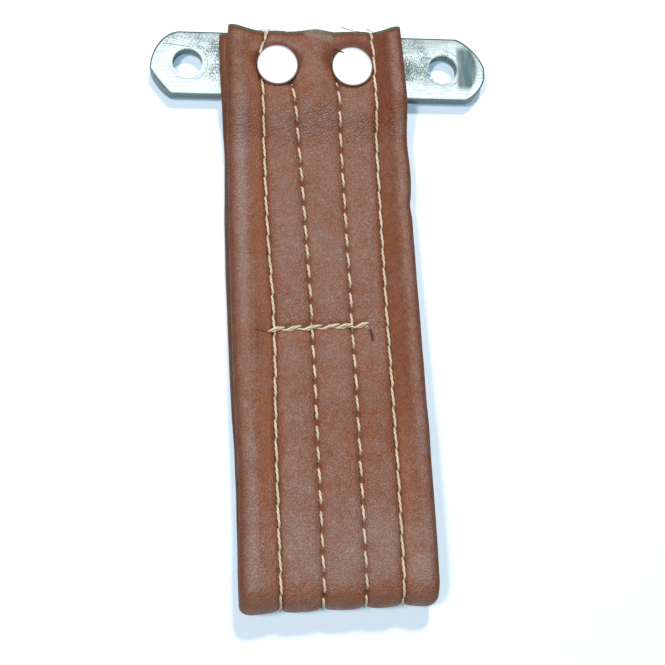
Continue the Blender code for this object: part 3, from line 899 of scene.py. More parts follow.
def hole_rim_reflections(nodes):
    """Mask of a painted dark reflection: a fine line outside the bright ring of each screw hole, on
    its right side only.
    """
    ring = 4.75 * MM
    lines = []
    for hole in BarShape().screw_holes:
        x, y, _ = nodes.split(nodes.vector("SUBTRACT", nodes.place, (hole.x, hole.y, 0.0)))
        reach = nodes.vector("LENGTH", nodes.flat(x, y))
        away = nodes.math("ABSOLUTE", nodes.math("SUBTRACT", reach, ring))
        line = nodes.ramp(away, 0.0, 0.22 * MM, 0.55, 0.0)
        lines.append(nodes.times(line, nodes.ramp(x, -1.0 * MM, 2.5 * MM)))
    return nodes.more(*lines)


def zinc_material():
    """Bright zinc plate, speckled and dulled by handling, with painted reflections at its right end,
    beside its screw holes and on its sheared sides.
    """
    look = settings("strap_metal")
    bar = BarShape()
    nodes = Finish("zinc_plated_steel_finish")
    place = nodes.place
    blotches, specks = nodes.handling(0.005, 0.0005)
    scratches = nodes.scratches(0.0013)
    dull = handled_field(nodes)
    gathered = nodes.math(
        "MULTIPLY_ADD", nodes.noise(place, 260.0), 0.45, nodes.noise(place, 2900.0, roughness=0.8)
    )
    gathered = nodes.math("ADD", gathered, nodes.times(dull, 0.13))
    spangle = nodes.ramp(gathered, 0.84, 0.91)
    dulled = nodes.math("MULTIPLY_ADD", spangle, 0.9, nodes.times(blotches, 0.05))
    scored = nodes.math("MULTIPLY_ADD", scratches, 0.16, dulled)
    scored = nodes.times(scored, nodes.ramp(dull, 0.0, 0.4, 0.15, 1.0))
    # The painted dark reflection beside each hole's ring.
    scored = nodes.more(scored, hole_rim_reflections(nodes))
    scratch = [bar.screw_holes[0] + Vector((x, y, 0.0)) * MM for x, y in BAR_SCRATCH]
    for ends in zip(scratch, scratch[1:]):
        scored = nodes.more(scored, nodes.line(place, *ends, 0.11 * MM))
    dulled = nodes.math("MINIMUM", scored, 1.0)
    crescent, nose, green = reflected_end(nodes)
    # Painted reflections: a bright band on the nose and a dark crescent by the right screw hole.
    base = nodes.mix(nose, look.zinc, look.nose)
    base = nodes.mix(dulled, base, look.dull_zinc)
    base = nodes.mix(crescent, base, nodes.mix(green, look.dark_reflection, look.green_dark_reflection))
    dulled = nodes.more(dulled, crescent)
    # Sheared sides: a dark upper band over a bluish painted reflection of the floor's shadow.
    torn_and_reflected = nodes.ramp(specks, 0.0, 1.0, 0.7, 1.0)
    lower = nodes.ramp(nodes.split(place)["Z"], bar.low.z, bar.high.z, 1.35, 0.1)
    torn_and_reflected = nodes.math("SUBTRACT", torn_and_reflected, nodes.times(lower, 0.3))
    side = nodes.mix(torn_and_reflected, look.shaded_side, look.sheared)
    base = nodes.mix(nodes.painted("sheared"), base, side)
    relief = nodes.relief(nodes.math("SUBTRACT", spangle, scratches), 0.00003, strength=0.5)
    rough = nodes.ramp(dulled, 0.0, 1.0, 0.26, 0.5)
    bare = nodes.ramp(dulled, 0.0, 1.0, 1.0, 0.3)
    return nodes.done(Base_Color=base, Normal=relief, Roughness=rough, Metallic=bare)


def rivet_material():
    """Bright plating with a few fine scratches."""
    look = settings("strap_metal")
    nodes = Finish("bright_rivet_finish")
    scratches = nodes.scratches(0.0016)
    blotches, _ = nodes.handling(0.003, 0.0005)
    soiled = nodes.math("MULTIPLY_ADD", blotches, 0.03, nodes.times(scratches, 0.05))
    base = nodes.mix(soiled, look.bright, look.dull_zinc)
    relief = nodes.relief(scratches, 0.00001, strength=0.12, invert=True)
    return nodes.done(Base_Color=base, Normal=relief, Metallic=1.0, Roughness=0.28)


# The padded strap


class StrapSkin:
    """Shapes every vertex of the padded strap and paints its marks."""

    # Painted layers: warm painted shade, darkness, and painted highlight.
    PAINTED = ("warm_shade", "darkness", "highlight")
    EDGE_STEPS = 8
    ROLL_STEPS = 7
    PANEL_STEPS = 11
    INNER_STEPS = 22
    SEAM_OFFSETS = (-1.7, -1.15, -0.75, -0.38, 0.0, 0.38, 0.75, 1.15, 1.7)
    SEAM_REACH = 4.5 * MM
    ROW_LENGTH = 0.47 * MM
    TACK_ROW_LENGTH = 0.22 * MM
    END_ROWS = 3
    END_ROUND = 0.3 * MM
    END_MARGIN = 0.08 * MM
    PUCKER_DEPTH = 0.08 * MM
    LIP_HEIGHT = 0.16 * MM
    RING_DEPTH = 0.2 * MM
    TACK_DEPTH = 0.3 * MM
    SLIT_DEPTH = 0.2 * MM
    CREASE_DEPTH = 0.13 * MM

    def __init__(self, shape):
        self.shape = shape
        self.look = shape.look
        self.needles = [Needle(shape, row) for row in range(4)]
        self.runs = [-shape.FRONT_END]
        while self.runs[-1] < shape.last_run - self.ROW_LENGTH:
            near_tack = abs(self.runs[-1] - shape.TACK_DROP - MM) < 3 * MM
            self.runs.append(self.runs[-1] + (self.TACK_ROW_LENGTH if near_tack else self.ROW_LENGTH))
        self.runs.append(shape.last_run)
        self.around = len(self.columns(0.0, 0.0))
        self.cached_row = None

    def columns(self, along, turn):
        """(across, above, side) of each vertex of a section; side is 1 outside, 0 inside."""
        shape, look = self.shape, self.look
        left, right = shape.sides(along, turn)
        edge, thick = look.roll_edge, look.panel_thickness + self.swell(turn)
        seams = [shape.seam(row, along) for row in range(4)]
        margin = self.SEAM_OFFSETS[-1] * MM

        def rolled(middle, outward, share):
            angle = math.pi * share
            return middle + outward * math.sin(angle), thick / 2 * (1 - math.cos(angle)), share

        rounds = self.EDGE_STEPS
        points = [rolled(left + edge, -edge, step / rounds) for step in range(rounds)]
        bounds = [left + edge, right - edge]
        bounds[1:1] = [seam + side * margin for seam in seams for side in (-1, 1)]
        for number, (low, high) in enumerate(zip(bounds[::2], bounds[1::2])):
            steps = self.ROLL_STEPS if number in (0, 4) else self.PANEL_STEPS
            first = 0 if number == 0 else 1
            last = steps + 1 if number == 4 else steps
            points += [(mix(low, high, step / steps), None, 1.0) for step in range(first, last)]
            if number < 4:
                points += [(seams[number] + offset * MM, None, 1.0) for offset in self.SEAM_OFFSETS]
        points += [rolled(right - edge, edge, 1 - step / rounds) for step in range(1, rounds + 1)]
        for step in range(1, self.INNER_STEPS):
            points.append((mix(right - edge, left + edge, step / self.INNER_STEPS), 0.0, 0.0))
        return points

    def outer_height(self, across, run, along, turn):
        """Height of the outer skin above the inner face, and the painted shade that goes with it:
        warm on the slopes by the seams, dark in their valleys and needle holes.
        """
        shape, look = self.shape, self.look
        seams = [shape.seam(row, along) for row in range(4)]
        height = look.panel_thickness
        if across < seams[0] or across > seams[3]:
            past = max(seams[0] - across, across - seams[3])
            height += self.swell(turn) * ease(past, 0, 6) ** 0.8
        else:
            row = 0 if across < seams[1] else 1 if across < seams[2] else 2
            through = (across - seams[row]) / (seams[row + 1] - seams[row])
            height += look.crown * (4 * through * (1 - through)) ** 0.7
        warm_shade = 0.0
        darkness = 0.0
        for row, seam in enumerate(seams):
            offset = abs(across - seam)
            if offset > self.SEAM_REACH:
                continue
            needle = self.needles[row]
            past = max(needle.start - run, run - needle.finish, 0.0)
            fade = 1 - ease(past, 0, 1.6)
            away = needle.nearest(run)
            valley = bump(offset, look.valley_width)
            hole = hill(math.hypot(offset, away), 0, 0.55) * (0.5 if needle.outer else 1.0)
            pucker = hill(offset, 0, 1.8) * hill(away, 0, 1.3)
            height -= fade * (look.valley_depth * valley + look.hole_depth * hole)
            height -= fade * self.PUCKER_DEPTH * pucker
            # Warm painted shade on the slopes beside each seam, wider on the rolled edges.
            rolled = (row == 0 and across < seam) or (row == 3 and across > seam)
            reach = 3.6 if rolled else 1.5
            if row == 0 and rolled and turn == 0:
                reach += 1.4 * hill(along, 86, 20)
            warm_shade = max(warm_shade, fade * hill(offset, 0, reach))
            # Dark painted shade in the seam's valley and its needle holes.
            valley_shade = 0.6 if needle.outer else 0.34
            darkness = max(darkness, fade * (valley_shade * hill(offset, 0, 0.6) + 0.12 * hole))
        return height, warm_shade, darkness

    def swell(self, turn):
        """Height of a rolled edge over its seam: fullest in front, least on the table."""
        rear = self.look.roll_thickness - self.look.panel_thickness
        return mix(self.look.roll_swell, rear, turn / math.pi)

    def relief(self, across, run, side):
        """Soft swells and fine creases of the skin."""
        look = self.look
        spot = Vector((across / (5 * MM), run / (4 * MM), 1.7 + 3 * side))
        swell = look.swell_height * noise.noise(spot)
        line = noise.noise(Vector((across / (7 * MM), run / (2.1 * MM), 8.1)))
        bend = noise.noise(Vector((across / (3.4 * MM), run / (3 * MM), 4.4)))
        patch = smooth(0.5 + 1.6 * noise.noise(Vector((across / (9 * MM), run / (13 * MM), 2.2))))
        crease = max(0.0, 1 - abs(line + 0.3 * bend) / 0.13)
        return swell - look.crease_depth * patch * crease * crease

    def rivet_press(self, across, along):
        """Lip and crease that a rivet head presses round itself."""
        ring = self.shape.from_rivet(across, along) - self.shape.head_radius
        return self.LIP_HEIGHT * hill(ring, 1.5, 1.0) - self.RING_DEPTH * hill(ring, 0.1, 0.5)

    def tack_valley(self, across, along):
        """Depth of the valley that the bar tack draws into the front ply."""
        left, right = self.shape.tack_ends()
        within = ease(across - left, -1, 1) * ease(right - across, -1, 1)
        return self.TACK_DEPTH * within * hill(along - self.shape.tack_along(across), 0, 1.5)

    def marks(self, across, along):
        """Depth of the needle slits, from 0 to 1, and of the creases, at a front point."""
        spot = (across / MM, along / MM)
        slit = crease = 0.0
        for start, finish, width in NEEDLE_SLITS:
            slit = max(slit, bump(from_segment(spot, start, finish), 1.3 * width))
        for start, finish, width in CREASES:
            crease = max(crease, bump(from_segment(spot, start, finish), width))
        return slit, crease

    def past_fold(self, along, turn):
        """How far a point lies past the start of the fold, round its outside."""
        if turn == math.pi:
            return 20 * MM
        return along - self.shape.fold_start + turn * (self.shape.fold_gap / 2 + 3.3 * MM)

    def highlit(self, across, along, turn):
        """How strongly a point takes the painted highlight: most along the rolled edges and over the
        fold's corners, with a rosy tint painted over the shade above the heads.
        """
        shape = self.shape
        left, right = shape.sides(along, turn)
        top = hill(along, 10, 28)
        low = hill(along, 111.5, 9)
        uneven = 1 + 0.5 * noise.noise(Vector((along / (6 * MM), 3.3, turn)))
        # Painted highlight along both rolled edges, over the panels and at the fold's corners.
        left_line = (0.64 + 0.3 * top + 0.3 * low) * hill(across - left, 3.15, 1.25)
        left_line *= (1 - 0.55 * hill(along, 74, 14)) * (0.4 + 0.6 * ease(along, 4, 14))
        right_line = (0.4 + 0.2 * top + 0.3 * low) * hill(across - right, -2.0, 0.95)
        field = ease(across - shape.seam(0, along), 0, 2.5)
        field *= ease(shape.seam(3, along) - across, 0, 2.5)
        dimmer_sheen = hill(along, 86, 13) * ease(across, -12, 6)
        panels = field * (0.3 + 0.3 * low - 0.26 * dimmer_sheen)
        panels *= 0.6 + 0.4 * ease(along, 1, 13)
        between = 0.16 * hill(across, 0.6, 1.6) * hill(along, -1, 8)
        past = self.past_fold(along, turn)
        bent = hill(past, -2, 4.5)
        right_corner = bent * hill(across - right, -3.8, 3.2)
        left_corner = 0.6 * bent * hill(across - left, 3.6, 3.0)
        corners = max(0.3 * low * (1 - field), right_corner, left_corner)
        highlight = max(left_line, right_line, corners) * uneven + panels + between
        # A rosy tint painted over the shade just above each rivet head.
        if turn == 0:
            above = ease(-along, 2.5, 5)
            highlight = max(highlight, above * hill(shape.from_rivet(across, along), 5.5, 2.0))
        return min(max(highlight * (1 - 0.9 * ease(past, -1.5, 4)), 0.0), 1.0)

    def warm_patches(self, across, along):
        """Warm patches of the front ply: painted shade below the tack, and a warm patch low in the
        field.
        """
        shape = self.shape
        low = 0.6 * hill(across, 3.7, 6.5) * hill(along, 90, 9)
        left, right = shape.tack_ends()
        inside = ease(across - left, 0, 2) * ease(right - across, 0, 2)
        return max(low, 0.85 * inside * hill(along - shape.tack_along(across), 1.7, 1.5))

    def shaded(self, across, along):
        """Dark places of the front ply: darker skin on the right rolled edge, and painted shade round
        the heads and at the tack.
        """
        shape = self.shape
        _, right = shape.sides(along, 0.0)
        inside = ease(across - shape.seam(3, along), 0, 1.2)
        inside *= 1 - ease(across - right, -4.6, -2.4)
        level = 0.36 + 0.24 * (1 - ease(along, 2, 16))
        roll = 0.75 * level * inside * (1 - ease(along, 76, 100))
        # Painted shade round each head, widest in the crescent above it.
        ring = shape.from_rivet(across, along) - shape.head_radius
        above = ease(-along, -2.5, 2.5)
        wide = 3.0 if across > 0 else 1.7
        head = mix(0.35, 0.72, above) * hill(ring, 0, mix(0.5, wide, above))
        left, right = shape.tack_ends()
        within = ease(across - left, 0, 1) * ease(right - across, 0, 1)
        return max(roll, head, 0.3 * within * hill(along - shape.tack_along(across), -0.6, 1))

    def row_data(self, row):
        """Run, place along, turn, sink of the cut end and section of one row."""
        if self.cached_row is None or self.cached_row[0] != row:
            steps = self.END_ROWS
            body = row - steps
            count = len(self.runs) - 1
            sink = 0.0
            if body < 0:
                sink = -body / steps
            elif body > count:
                sink = (body - count) / steps
            body = min(max(body, 0), count)
            run = self.runs[body]
            along, turn = self.shape.station(run)
            self.cached_row = (row, run, along, turn, sink, self.columns(along, turn))
        return self.cached_row[1:]

    def shape_vertex(self, vert, column, row):
        """Place one vertex and paint its marks: painted shade, darkness and painted highlight."""
        shape, look = self.shape, self.look
        run, along, turn, sink, section = self.row_data(row)
        across, above, side = section[column]
        # Warm painted shade on the inner face.
        warm_shade = 0.25 * (1 - side)
        darkness = 0.0
        lost = shape.drawn_in(across, along)
        if above is None:
            above, warm_shade, darkness = self.outer_height(across, run, along, turn)
            above += self.relief(across, run, 0)
            above -= lost
            if turn == 0:
                above += self.rivet_press(across, along)
                slit, crease = self.marks(across, along)
                above -= self.SLIT_DEPTH * slit + self.CREASE_DEPTH * crease
                above -= self.tack_valley(across, along)
                # Painted shade in the needle slits.
                darkness = max(darkness, 0.25 * slit)
        else:
            above += side * self.relief(across, run, 1) - above / look.roll_thickness * lost
            # Painted shade on the rolled sides, and on the inner face.
            darkness = 0.75 * math.sin(math.pi * min(max(side, 0.0), 1.0)) ** 2
            if side == 0:
                darkness = 0.3
        # Warm painted shade where the skin turns away over the fold.
        warm_shade = max(warm_shade, 0.75 * ease(self.past_fold(along, turn), -2, 3))
        if turn == 0:
            # Warm painted shade on the top band by the rivets, in their dimples, and below the tack.
            top_slope_shade = 0.2 * (1 - ease(along, 4, 13))
            drawn = 0.48 * shape.hollow(across, along)
            warm_shade = max(warm_shade, top_slope_shade, drawn, self.warm_patches(across, along))
            # Dark painted shade round the heads and at the tack, and darker skin on the right roll.
            darkness = max(darkness, self.shaded(across, along))
        end = min(run + shape.FRONT_END, shape.last_run - run)
        # Darker towards the cut ends.
        darkness = max(darkness, min(1.15 * hill(end, 0, 0.8), 0.85))
        if sink > 0:
            middle = (look.panel_thickness - lost) / 2
            above = mix(above, middle, 1 - math.sqrt(1 - sink * sink * 0.96))
            along -= self.END_ROUND * math.sin(sink * math.pi / 2)
        vert.co = shape.place(across, above, along, turn)
        # Painted highlight, mostly on the outer skin.
        highlight = side * self.highlit(across, along, turn)
        for layer, value in zip(self.layers, (warm_shade, darkness, highlight)):
            vert[layer] = min(max(value, 0.0), 1.0)

    def build(self):
        """The strap's mesh, with the cut ends as a second material."""
        bm = new_body()
        layers = bm.verts.layers.float
        for name in self.PAINTED:
            layers.new(name)
        self.layers = [layers[name] for name in self.PAINTED]
        rows = len(self.runs) - 1 + 2 * self.END_ROWS
        ends = wrap_grid(bm, self.around, rows, self.shape_vertex)
        bmesh.ops.triangulate(bm, faces=ends)
        self.mark_cut_ends(bm)
        return bm

    def mark_cut_ends(self, bm):
        """Give the rounded ends past the last row of the skin the filling."""
        front = self.shape.place(0.0, 0.0, -self.shape.FRONT_END - self.END_MARGIN, 0.0)
        rear = self.shape.place(0.0, 0.0, -self.shape.REAR_END - self.END_MARGIN, math.pi)
        normal = Vector((-math.sin(self.shape.slant), math.cos(self.shape.slant), 0.0))
        for face in bm.faces:
            middle = face.calc_center_median()
            limit = front if middle.z > self.shape.rise + self.look.roll_thickness else rear
            if (middle - limit).dot(normal) > 0 and face.normal.dot(normal) > 0.5:
                face.material_index = 1


# Threads


PLIES = 2
GROOVE_DEPTH = 0.3
GROUND_STEPS = 60
TACK_STITCH_STEPS = 20


def thread_body(bm, stops, diameter, twist, shade_and_soil=0.0):
    """Sweep a twisted section of plies through the stops: (place, up, radius share).

    Painted shade gathers where the thread is drawn thin, at its needle holes.
    """
    fullest = max(size for _, _, size in stops)
    around = 4 * PLIES
    groove = bm.verts.layers.float.get("groove") or bm.verts.layers.float.new("groove")
    lengths = [0.0]
    for (low, _, _), (high, _, _) in zip(stops, stops[1:]):
        lengths.append(lengths[-1] + (high - low).length)

    def shape_vertex(vert, column, row):
        place, up, size = stops[row]
        before = stops[max(row - 1, 0)][0]
        after = stops[min(row + 1, len(stops) - 1)][0]
        forward = (after - before).normalized()
        side = forward.cross(up).normalized()
        lift = side.cross(forward)
        angle = math.tau * (column / around + lengths[row] / twist)
        hollow = 0.5 - 0.5 * math.cos(math.tau * column / around * PLIES)
        radius = diameter / 2 * size * (1 + GROOVE_DEPTH * (0.35 - hollow))
        vert.co = place + radius * (math.cos(angle) * side + math.sin(angle) * lift)
        thin = smooth((1 - size / fullest - 0.1) / 0.07)
        # The groove mark: painted shade between the plies and where the thread is drawn thin.
        vert[groove] = max(hollow**2, shade_and_soil * thin)

    wrap_grid(bm, around, len(stops) - 1, shape_vertex)


def thread_stop(shape, across, above, along, turn, plump):
    """One stop of a thread: its place, its way up and its share of the thickness."""
    place = shape.place(across, above, along, turn)
    up = shape.place(across, above + MM, along, turn) - place
    return place, up.normalized(), plump


# A stitch in millimetres: its thin length at a hole, how deep it sinks there, how far it
# slants over its seam and how high it swells between its holes
OUTER_STITCH = (0.42, 0.4, 0.16, 0.07)
INNER_STITCH = (1.1, 0.9, 0.2, 0.26)
SEAM_WANDER = 0.08 * MM
STITCH_STEPS = 14


def seam_stops(shape, needle):
    """Path of a seam's thread: up along each stitch and down into each needle hole."""
    stitch_sizes = OUTER_STITCH if needle.outer else INNER_STITCH
    gap, sunk, slant, swell = (size * MM for size in stitch_sizes)
    steps = math.ceil((needle.finish - needle.start) / (needle.pitch / STITCH_STEPS))
    stops = []
    for number in range(steps + 1):
        run = mix(needle.start, needle.finish, number / steps)
        along, turn = shape.station(run)
        stitch, through = needle.stitch(run)
        away = needle.nearest(run)
        lean = slant * (through - 0.5) * 2
        wander = SEAM_WANDER * noise.noise(Vector((stitch * 1.7, needle.row, 0.0)))
        across = shape.seam(needle.row, along) + lean + wander
        dip = sunk * (1 - smooth((away - gap * 0.4) / gap))
        above = shape.thread_height - shape.drawn_in(across, along) - dip
        above += swell * math.sin(math.pi * through)
        plump = 0.86 + 0.2 * math.sin(math.pi * through)
        stops.append(thread_stop(shape, across, above, along, turn, plump))
    return stops


def tack_stop(shape, across, along, above, turn, plump):
    """One stop of a bar tack thread that lies on the strap's skin."""
    above += shape.look.panel_thickness - shape.drawn_in(across, along)
    return thread_stop(shape, across, above, along, turn, plump)


def tack_ground(shape, turn):
    """The thin thread that runs under the bar tack's slanting stitches."""
    left, right = shape.tack_ends()
    stops = []
    for step in range(GROUND_STEPS + 1):
        through = step / GROUND_STEPS
        across = mix(left, right, through)
        wave = math.sin(math.tau * through * shape.TACK_TURNS)
        along = shape.tack_along(across) + 0.35 * MM + 0.16 * MM * wave
        ends = 1 - smooth(min(through, 1 - through) * 25)
        above = 0.2 * MM + 0.1 * MM * wave - 1.0 * MM * ends
        stops.append(tack_stop(shape, across, along, above, turn, 0.5))
    return stops


def tack_stitch(shape, number, turn):
    """One slanting stitch of the bar tack: thin where it starts, plump further on."""
    left, right = shape.tack_ends()
    pitch = (right - left) / shape.TACK_TURNS
    rng = random.Random(90 + number)
    start = left + pitch * (number - 0.1 + rng.uniform(-0.08, 0.08) * (number > 0))
    finish = min(start + pitch * rng.uniform(1.0, 1.5), right - (number % 2) * 0.3 * MM)
    lean = rng.uniform(0.55, 0.85) * MM
    stops = []
    for step in range(TACK_STITCH_STEPS + 1):
        through = step / TACK_STITCH_STEPS
        across = mix(start, finish, through)
        along = shape.tack_along(across) + lean * (0.55 - smooth(through) ** 0.8)
        along += 0.12 * MM * noise.noise(Vector((number * 2.3, through * 2, turn)))
        arch = math.sin(math.pi * through**1.3)
        above = 0.42 * MM * arch**0.6 - 0.7 * MM * (1 - arch) ** 8 + 0.12 * MM
        plump = 0.36 + 0.48 * arch
        stops.append(tack_stop(shape, across, along, above, turn, plump))
    return stops


def fibre_curve(name, strands, diameter, material):
    """Loose fibres: one fine round curve for each list of points."""
    curve = bpy.data.curves.new(name, "CURVE")
    curve.dimensions = "3D"
    curve.bevel_depth = diameter / 2
    curve.bevel_resolution = 1
    curve.use_fill_caps = True
    curve.resolution_u = 5
    for points in strands:
        spline = curve.splines.new("NURBS")
        spline.points.add(len(points) - 1)
        spline.use_endpoint_u = True
        for target, (place, size) in zip(spline.points, points):
            target.co = (*place, 1.0)
            target.radius = size
    piece = add_object(name, curve)
    curve.materials.append(material)
    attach(piece, "root")
    return piece


# Bar and rivets


CORNER_STEPS = 12


def bar_corner(reach, rise, fullness):
    """Quarter of a bar end from its nose, as (inwards, away from the nose line)."""
    points = []
    for step in range(1, CORNER_STEPS + 1):
        angle = math.pi / 2 * step / CORNER_STEPS
        inward = reach * (1 - math.cos(angle) ** (2 / fullness))
        points.append((inward, rise * math.sin(angle) ** (2 / fullness)))
    return points


class BarShape:
    """Outline and holes of the plated bar, from its box in the frame."""

    NOSE_DROP = 1.55 * MM
    RIGHT_NOSE_DROP = 0.7 * MM
    RIGHT_NOSE_FLAT = 2.4 * MM
    UPPER_REACH = 6.9 * MM
    LOWER_REACH = 4.9 * MM
    FRONT_FULLNESS = (1.85, 1.08, 1.4, 1.5)
    BACK_FULLNESS = (1.85, 1.4, 1.5, 1.5)
    HOLE_RADIUS = 3.5 * MM
    HOLE_INSETS = (8.9 * MM, 10.35 * MM)
    RIVET_HOLE_RADIUS = 2.1 * MM
    HOLE_STEPS = 56
    RIVET_HOLE_STEPS = 24

    def __init__(self):
        low, high = (Vector(corner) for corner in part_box("backing_plate"))
        self.low, self.high = low, high
        self.middle = (low + high) / 2
        self.nose = (high.x - low.x) / 2
        self.rise = (high.y - low.y) / 2
        y = self.middle.y
        self.screw_holes = [
            Vector((low.x + self.HOLE_INSETS[0], y, 0.0)),
            Vector((high.x - self.HOLE_INSETS[1], y, 0.0)),
        ]
        self.rivet_holes = [centre("rivet_left"), centre("rivet_right")]

    def outline(self, inset, back):
        """The bar's outline once round, drawn in by an inset. back is 0 in front, 1 behind."""
        fullness = [mix(f, b, back) for f, b in zip(self.FRONT_FULLNESS, self.BACK_FULLNESS)]
        left_upper, left_lower, right_upper, right_lower = fullness
        nose = self.nose - inset
        half = self.rise - inset
        x, y = self.middle.x, self.middle.y
        drop = self.NOSE_DROP
        flat_top = self.RIGHT_NOSE_FLAT / 2 - self.RIGHT_NOSE_DROP
        flat_end = -self.RIGHT_NOSE_FLAT / 2 - self.RIGHT_NOSE_DROP
        points = [(x + nose, y + flat_top)]
        for inward, away in bar_corner(self.UPPER_REACH, half - flat_top, right_upper):
            points.append((x + nose - inward, y + flat_top + away))
        for inward, away in reversed(bar_corner(self.UPPER_REACH, half + drop, left_upper)):
            points.append((x - nose + inward, y - drop + away))
        points.append((x - nose, y - drop))
        for inward, away in bar_corner(self.LOWER_REACH, half - drop, left_lower):
            points.append((x - nose + inward, y - drop - away))
        for inward, away in reversed(bar_corner(self.LOWER_REACH, half + flat_end, right_lower)):
            points.append((x + nose - inward, y + flat_end - away))
        points.append((x + nose, y + flat_end))
        return points


def build_bar():
    """The bar's mesh: a filled face, drawn down level by level and closed behind."""
    bar = BarShape()
    look = settings("strap_metal")
    top, bottom = bar.high.z, bar.low.z
    edge = look.edge
    # Height, inset of the outline, flare of the screw holes and share of the back's outline
    levels = [
        (top, edge, look.chamfer, 0.0),
        (top - 0.04 * MM, 0.7 * edge, 0.66 * look.chamfer, 0.0),
        (top - 0.3 * edge, 0.3 * edge, 0.38 * look.chamfer, 0.05),
        (top - look.chamfer_depth, 0.12 * edge, 0.05 * MM, 0.08),
        (top - edge, 0.0, 0.0, 0.1),
        (bottom + edge, 0.0, 0.0, 0.95),
        (bottom, 0.7 * edge, 0.15 * MM, 1.0),
    ]
    bm = bmesh.new()
    sheared = bm.verts.layers.float.new("sheared")
    index = bm.verts.layers.int.new("index")
    hole_of = bm.verts.layers.int.new("hole")
    outline = bar.outline(0.0, 0.0)
    rim = [bm.verts.new((x, y, top)) for x, y in outline]
    for number, vert in enumerate(rim):
        vert[index] = number
    for pair in zip(rim, rim[1:] + rim[:1]):
        bm.edges.new(pair)
    holes = [(spot, bar.HOLE_RADIUS, bar.HOLE_STEPS) for spot in bar.screw_holes]
    holes += [(spot, bar.RIVET_HOLE_RADIUS, bar.RIVET_HOLE_STEPS) for spot in bar.rivet_holes]
    for number, (spot, radius, steps) in enumerate(holes):
        turned = Matrix.Translation((spot.x, spot.y, top))
        circle = bmesh.ops.create_circle(bm, segments=steps, radius=radius, matrix=turned)
        for vert in circle["verts"]:
            vert[hole_of] = number + 1
    ring = list(bm.edges)

    def settle(verts, level):
        height, inset, flare, back = level
        points = bar.outline(inset, back)
        for vert in verts:
            if vert[hole_of]:
                spot, radius, _ = holes[vert[hole_of] - 1]
                away = Vector((vert.co.x - spot.x, vert.co.y - spot.y, 0.0)).normalized()
                grown = radius + (flare if vert[hole_of] < 3 else 0.0)
                vert.co = Vector((spot.x, spot.y, height)) + away * grown
            else:
                vert.co = Vector((*points[vert[index]], height))

    for number, level in enumerate(levels):
        if number:
            grown = bmesh.ops.extrude_edge_only(bm, edges=ring)["geom"]
            ring = [item for item in grown if isinstance(item, bmesh.types.BMEdge)]
        settle({vert for line in ring for vert in line.verts}, level)
        if level in (levels[0], levels[-1]):
            bmesh.ops.triangle_fill(bm, use_beauty=True, edges=ring)
    for vert in bm.verts:
        flared = vert[hole_of] in (1, 2) and vert.co.z > top - 0.15 * MM
        vert[sheared] = 0.0 if flared else ease(top - vert.co.z, 0, 0.06)
    return bm


# Half sections of a rivet in millimetres: its tail as (radius, height over the tail), the
# rim of its head as (inset, height over the head's underside), and the head's crown as
# (share of the radius, drop)
TAIL = ((0, 0.42), (1.15, 0.4), (1.5, 0.2), (1.95, 0.03), (2.5, 0), (3.25, 0.12), (3.5, 0.34))
RIM = ((0.4, 0), (0.1, 0.1), (0, 0.4), (0.02, 0.72), (0.14, 0.92), (0.42, 1.02))
CROWN = ((0.7, 0.035), (0.35, 0.01), (0, 0))
HEAD_HEIGHT = 1.1 * MM
SHANK_RADIUS = 1.8 * MM
NECK_RADIUS = 3.42 * MM
RIVET_STEPS = 64


def rivet_profile(node):
    """Half section of a rivet, (radius, height), from the tail's hollow to the head's top."""
    low, high = (Vector(corner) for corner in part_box(node))
    head = (high.x - low.x) / 2 * HEAD_SPREAD
    base = high.z - HEAD_HEIGHT
    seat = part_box("backing_plate")[0][2] - CLEARANCE
    points = [(radius * MM, low.z + over * MM) for radius, over in TAIL]
    points += [(NECK_RADIUS, seat), (SHANK_RADIUS, seat), (SHANK_RADIUS, base)]
    points += [(head - inset * MM, base + over * MM) for inset, over in RIM]
    points += [(head * part, high.z - drop * MM) for part, drop in CROWN]
    return points


def build_rivet(node):
    """A rivet turned from its half section."""
    bm = bmesh.new()
    verts = [bm.verts.new((radius, 0.0, height)) for radius, height in rivet_profile(node)]
    edges = [bm.edges.new(pair) for pair in zip(verts, verts[1:])]
    bmesh.ops.spin(
        bm,
        geom=verts + edges,
        cent=(0.0, 0.0, 0.0),
        axis=(0.0, 0.0, 1.0),
        angle=math.tau,
        steps=RIVET_STEPS,
        use_merge=True,
    )
    bmesh.ops.remove_doubles(bm, verts=bm.verts, dist=0.001 * MM)
    middle = centre(node)
    bmesh.ops.translate(bm, verts=bm.verts, vec=(middle.x, middle.y, 0.0))
    plate_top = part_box("backing_plate")[1][2]
    lean = Vector((*HEAD_LEAN[node], 0.0)) * MM
    for vert in bm.verts:
        vert.co += lean * ease(vert.co.z - plate_top, 0, LEAN_HEIGHT)
    return bm


# Operators


class PULLSTRAP_OT_strap(bpy.types.Operator):
    """Build the padded vinyl strap, folded into a loop"""

    bl_idname = "pullstrap.strap"
    bl_label = "Padded Strap"

    def execute(self, context):
        skin = StrapSkin(StrapShape())
        materials = (vinyl_material(), filling_material())
        piece = finish_piece("padded_strap", skin.build(), materials, "strap", slot="tan_vinyl")
        return {"FINISHED"}


class PULLSTRAP_OT_bar(bpy.types.Operator):
    """Build the zinc plated bar behind the strap"""

    bl_idname = "pullstrap.bar"
    bl_label = "Plated Bar"

    def execute(self, context):
        piece = finish_piece(
            "plated_bar", build_bar(), (zinc_material(),), "backing_plate", slot="zinc_plated_steel"
        )
        piece.data.set_sharp_from_angle(angle=math.radians(28.0))
        return {"FINISHED"}


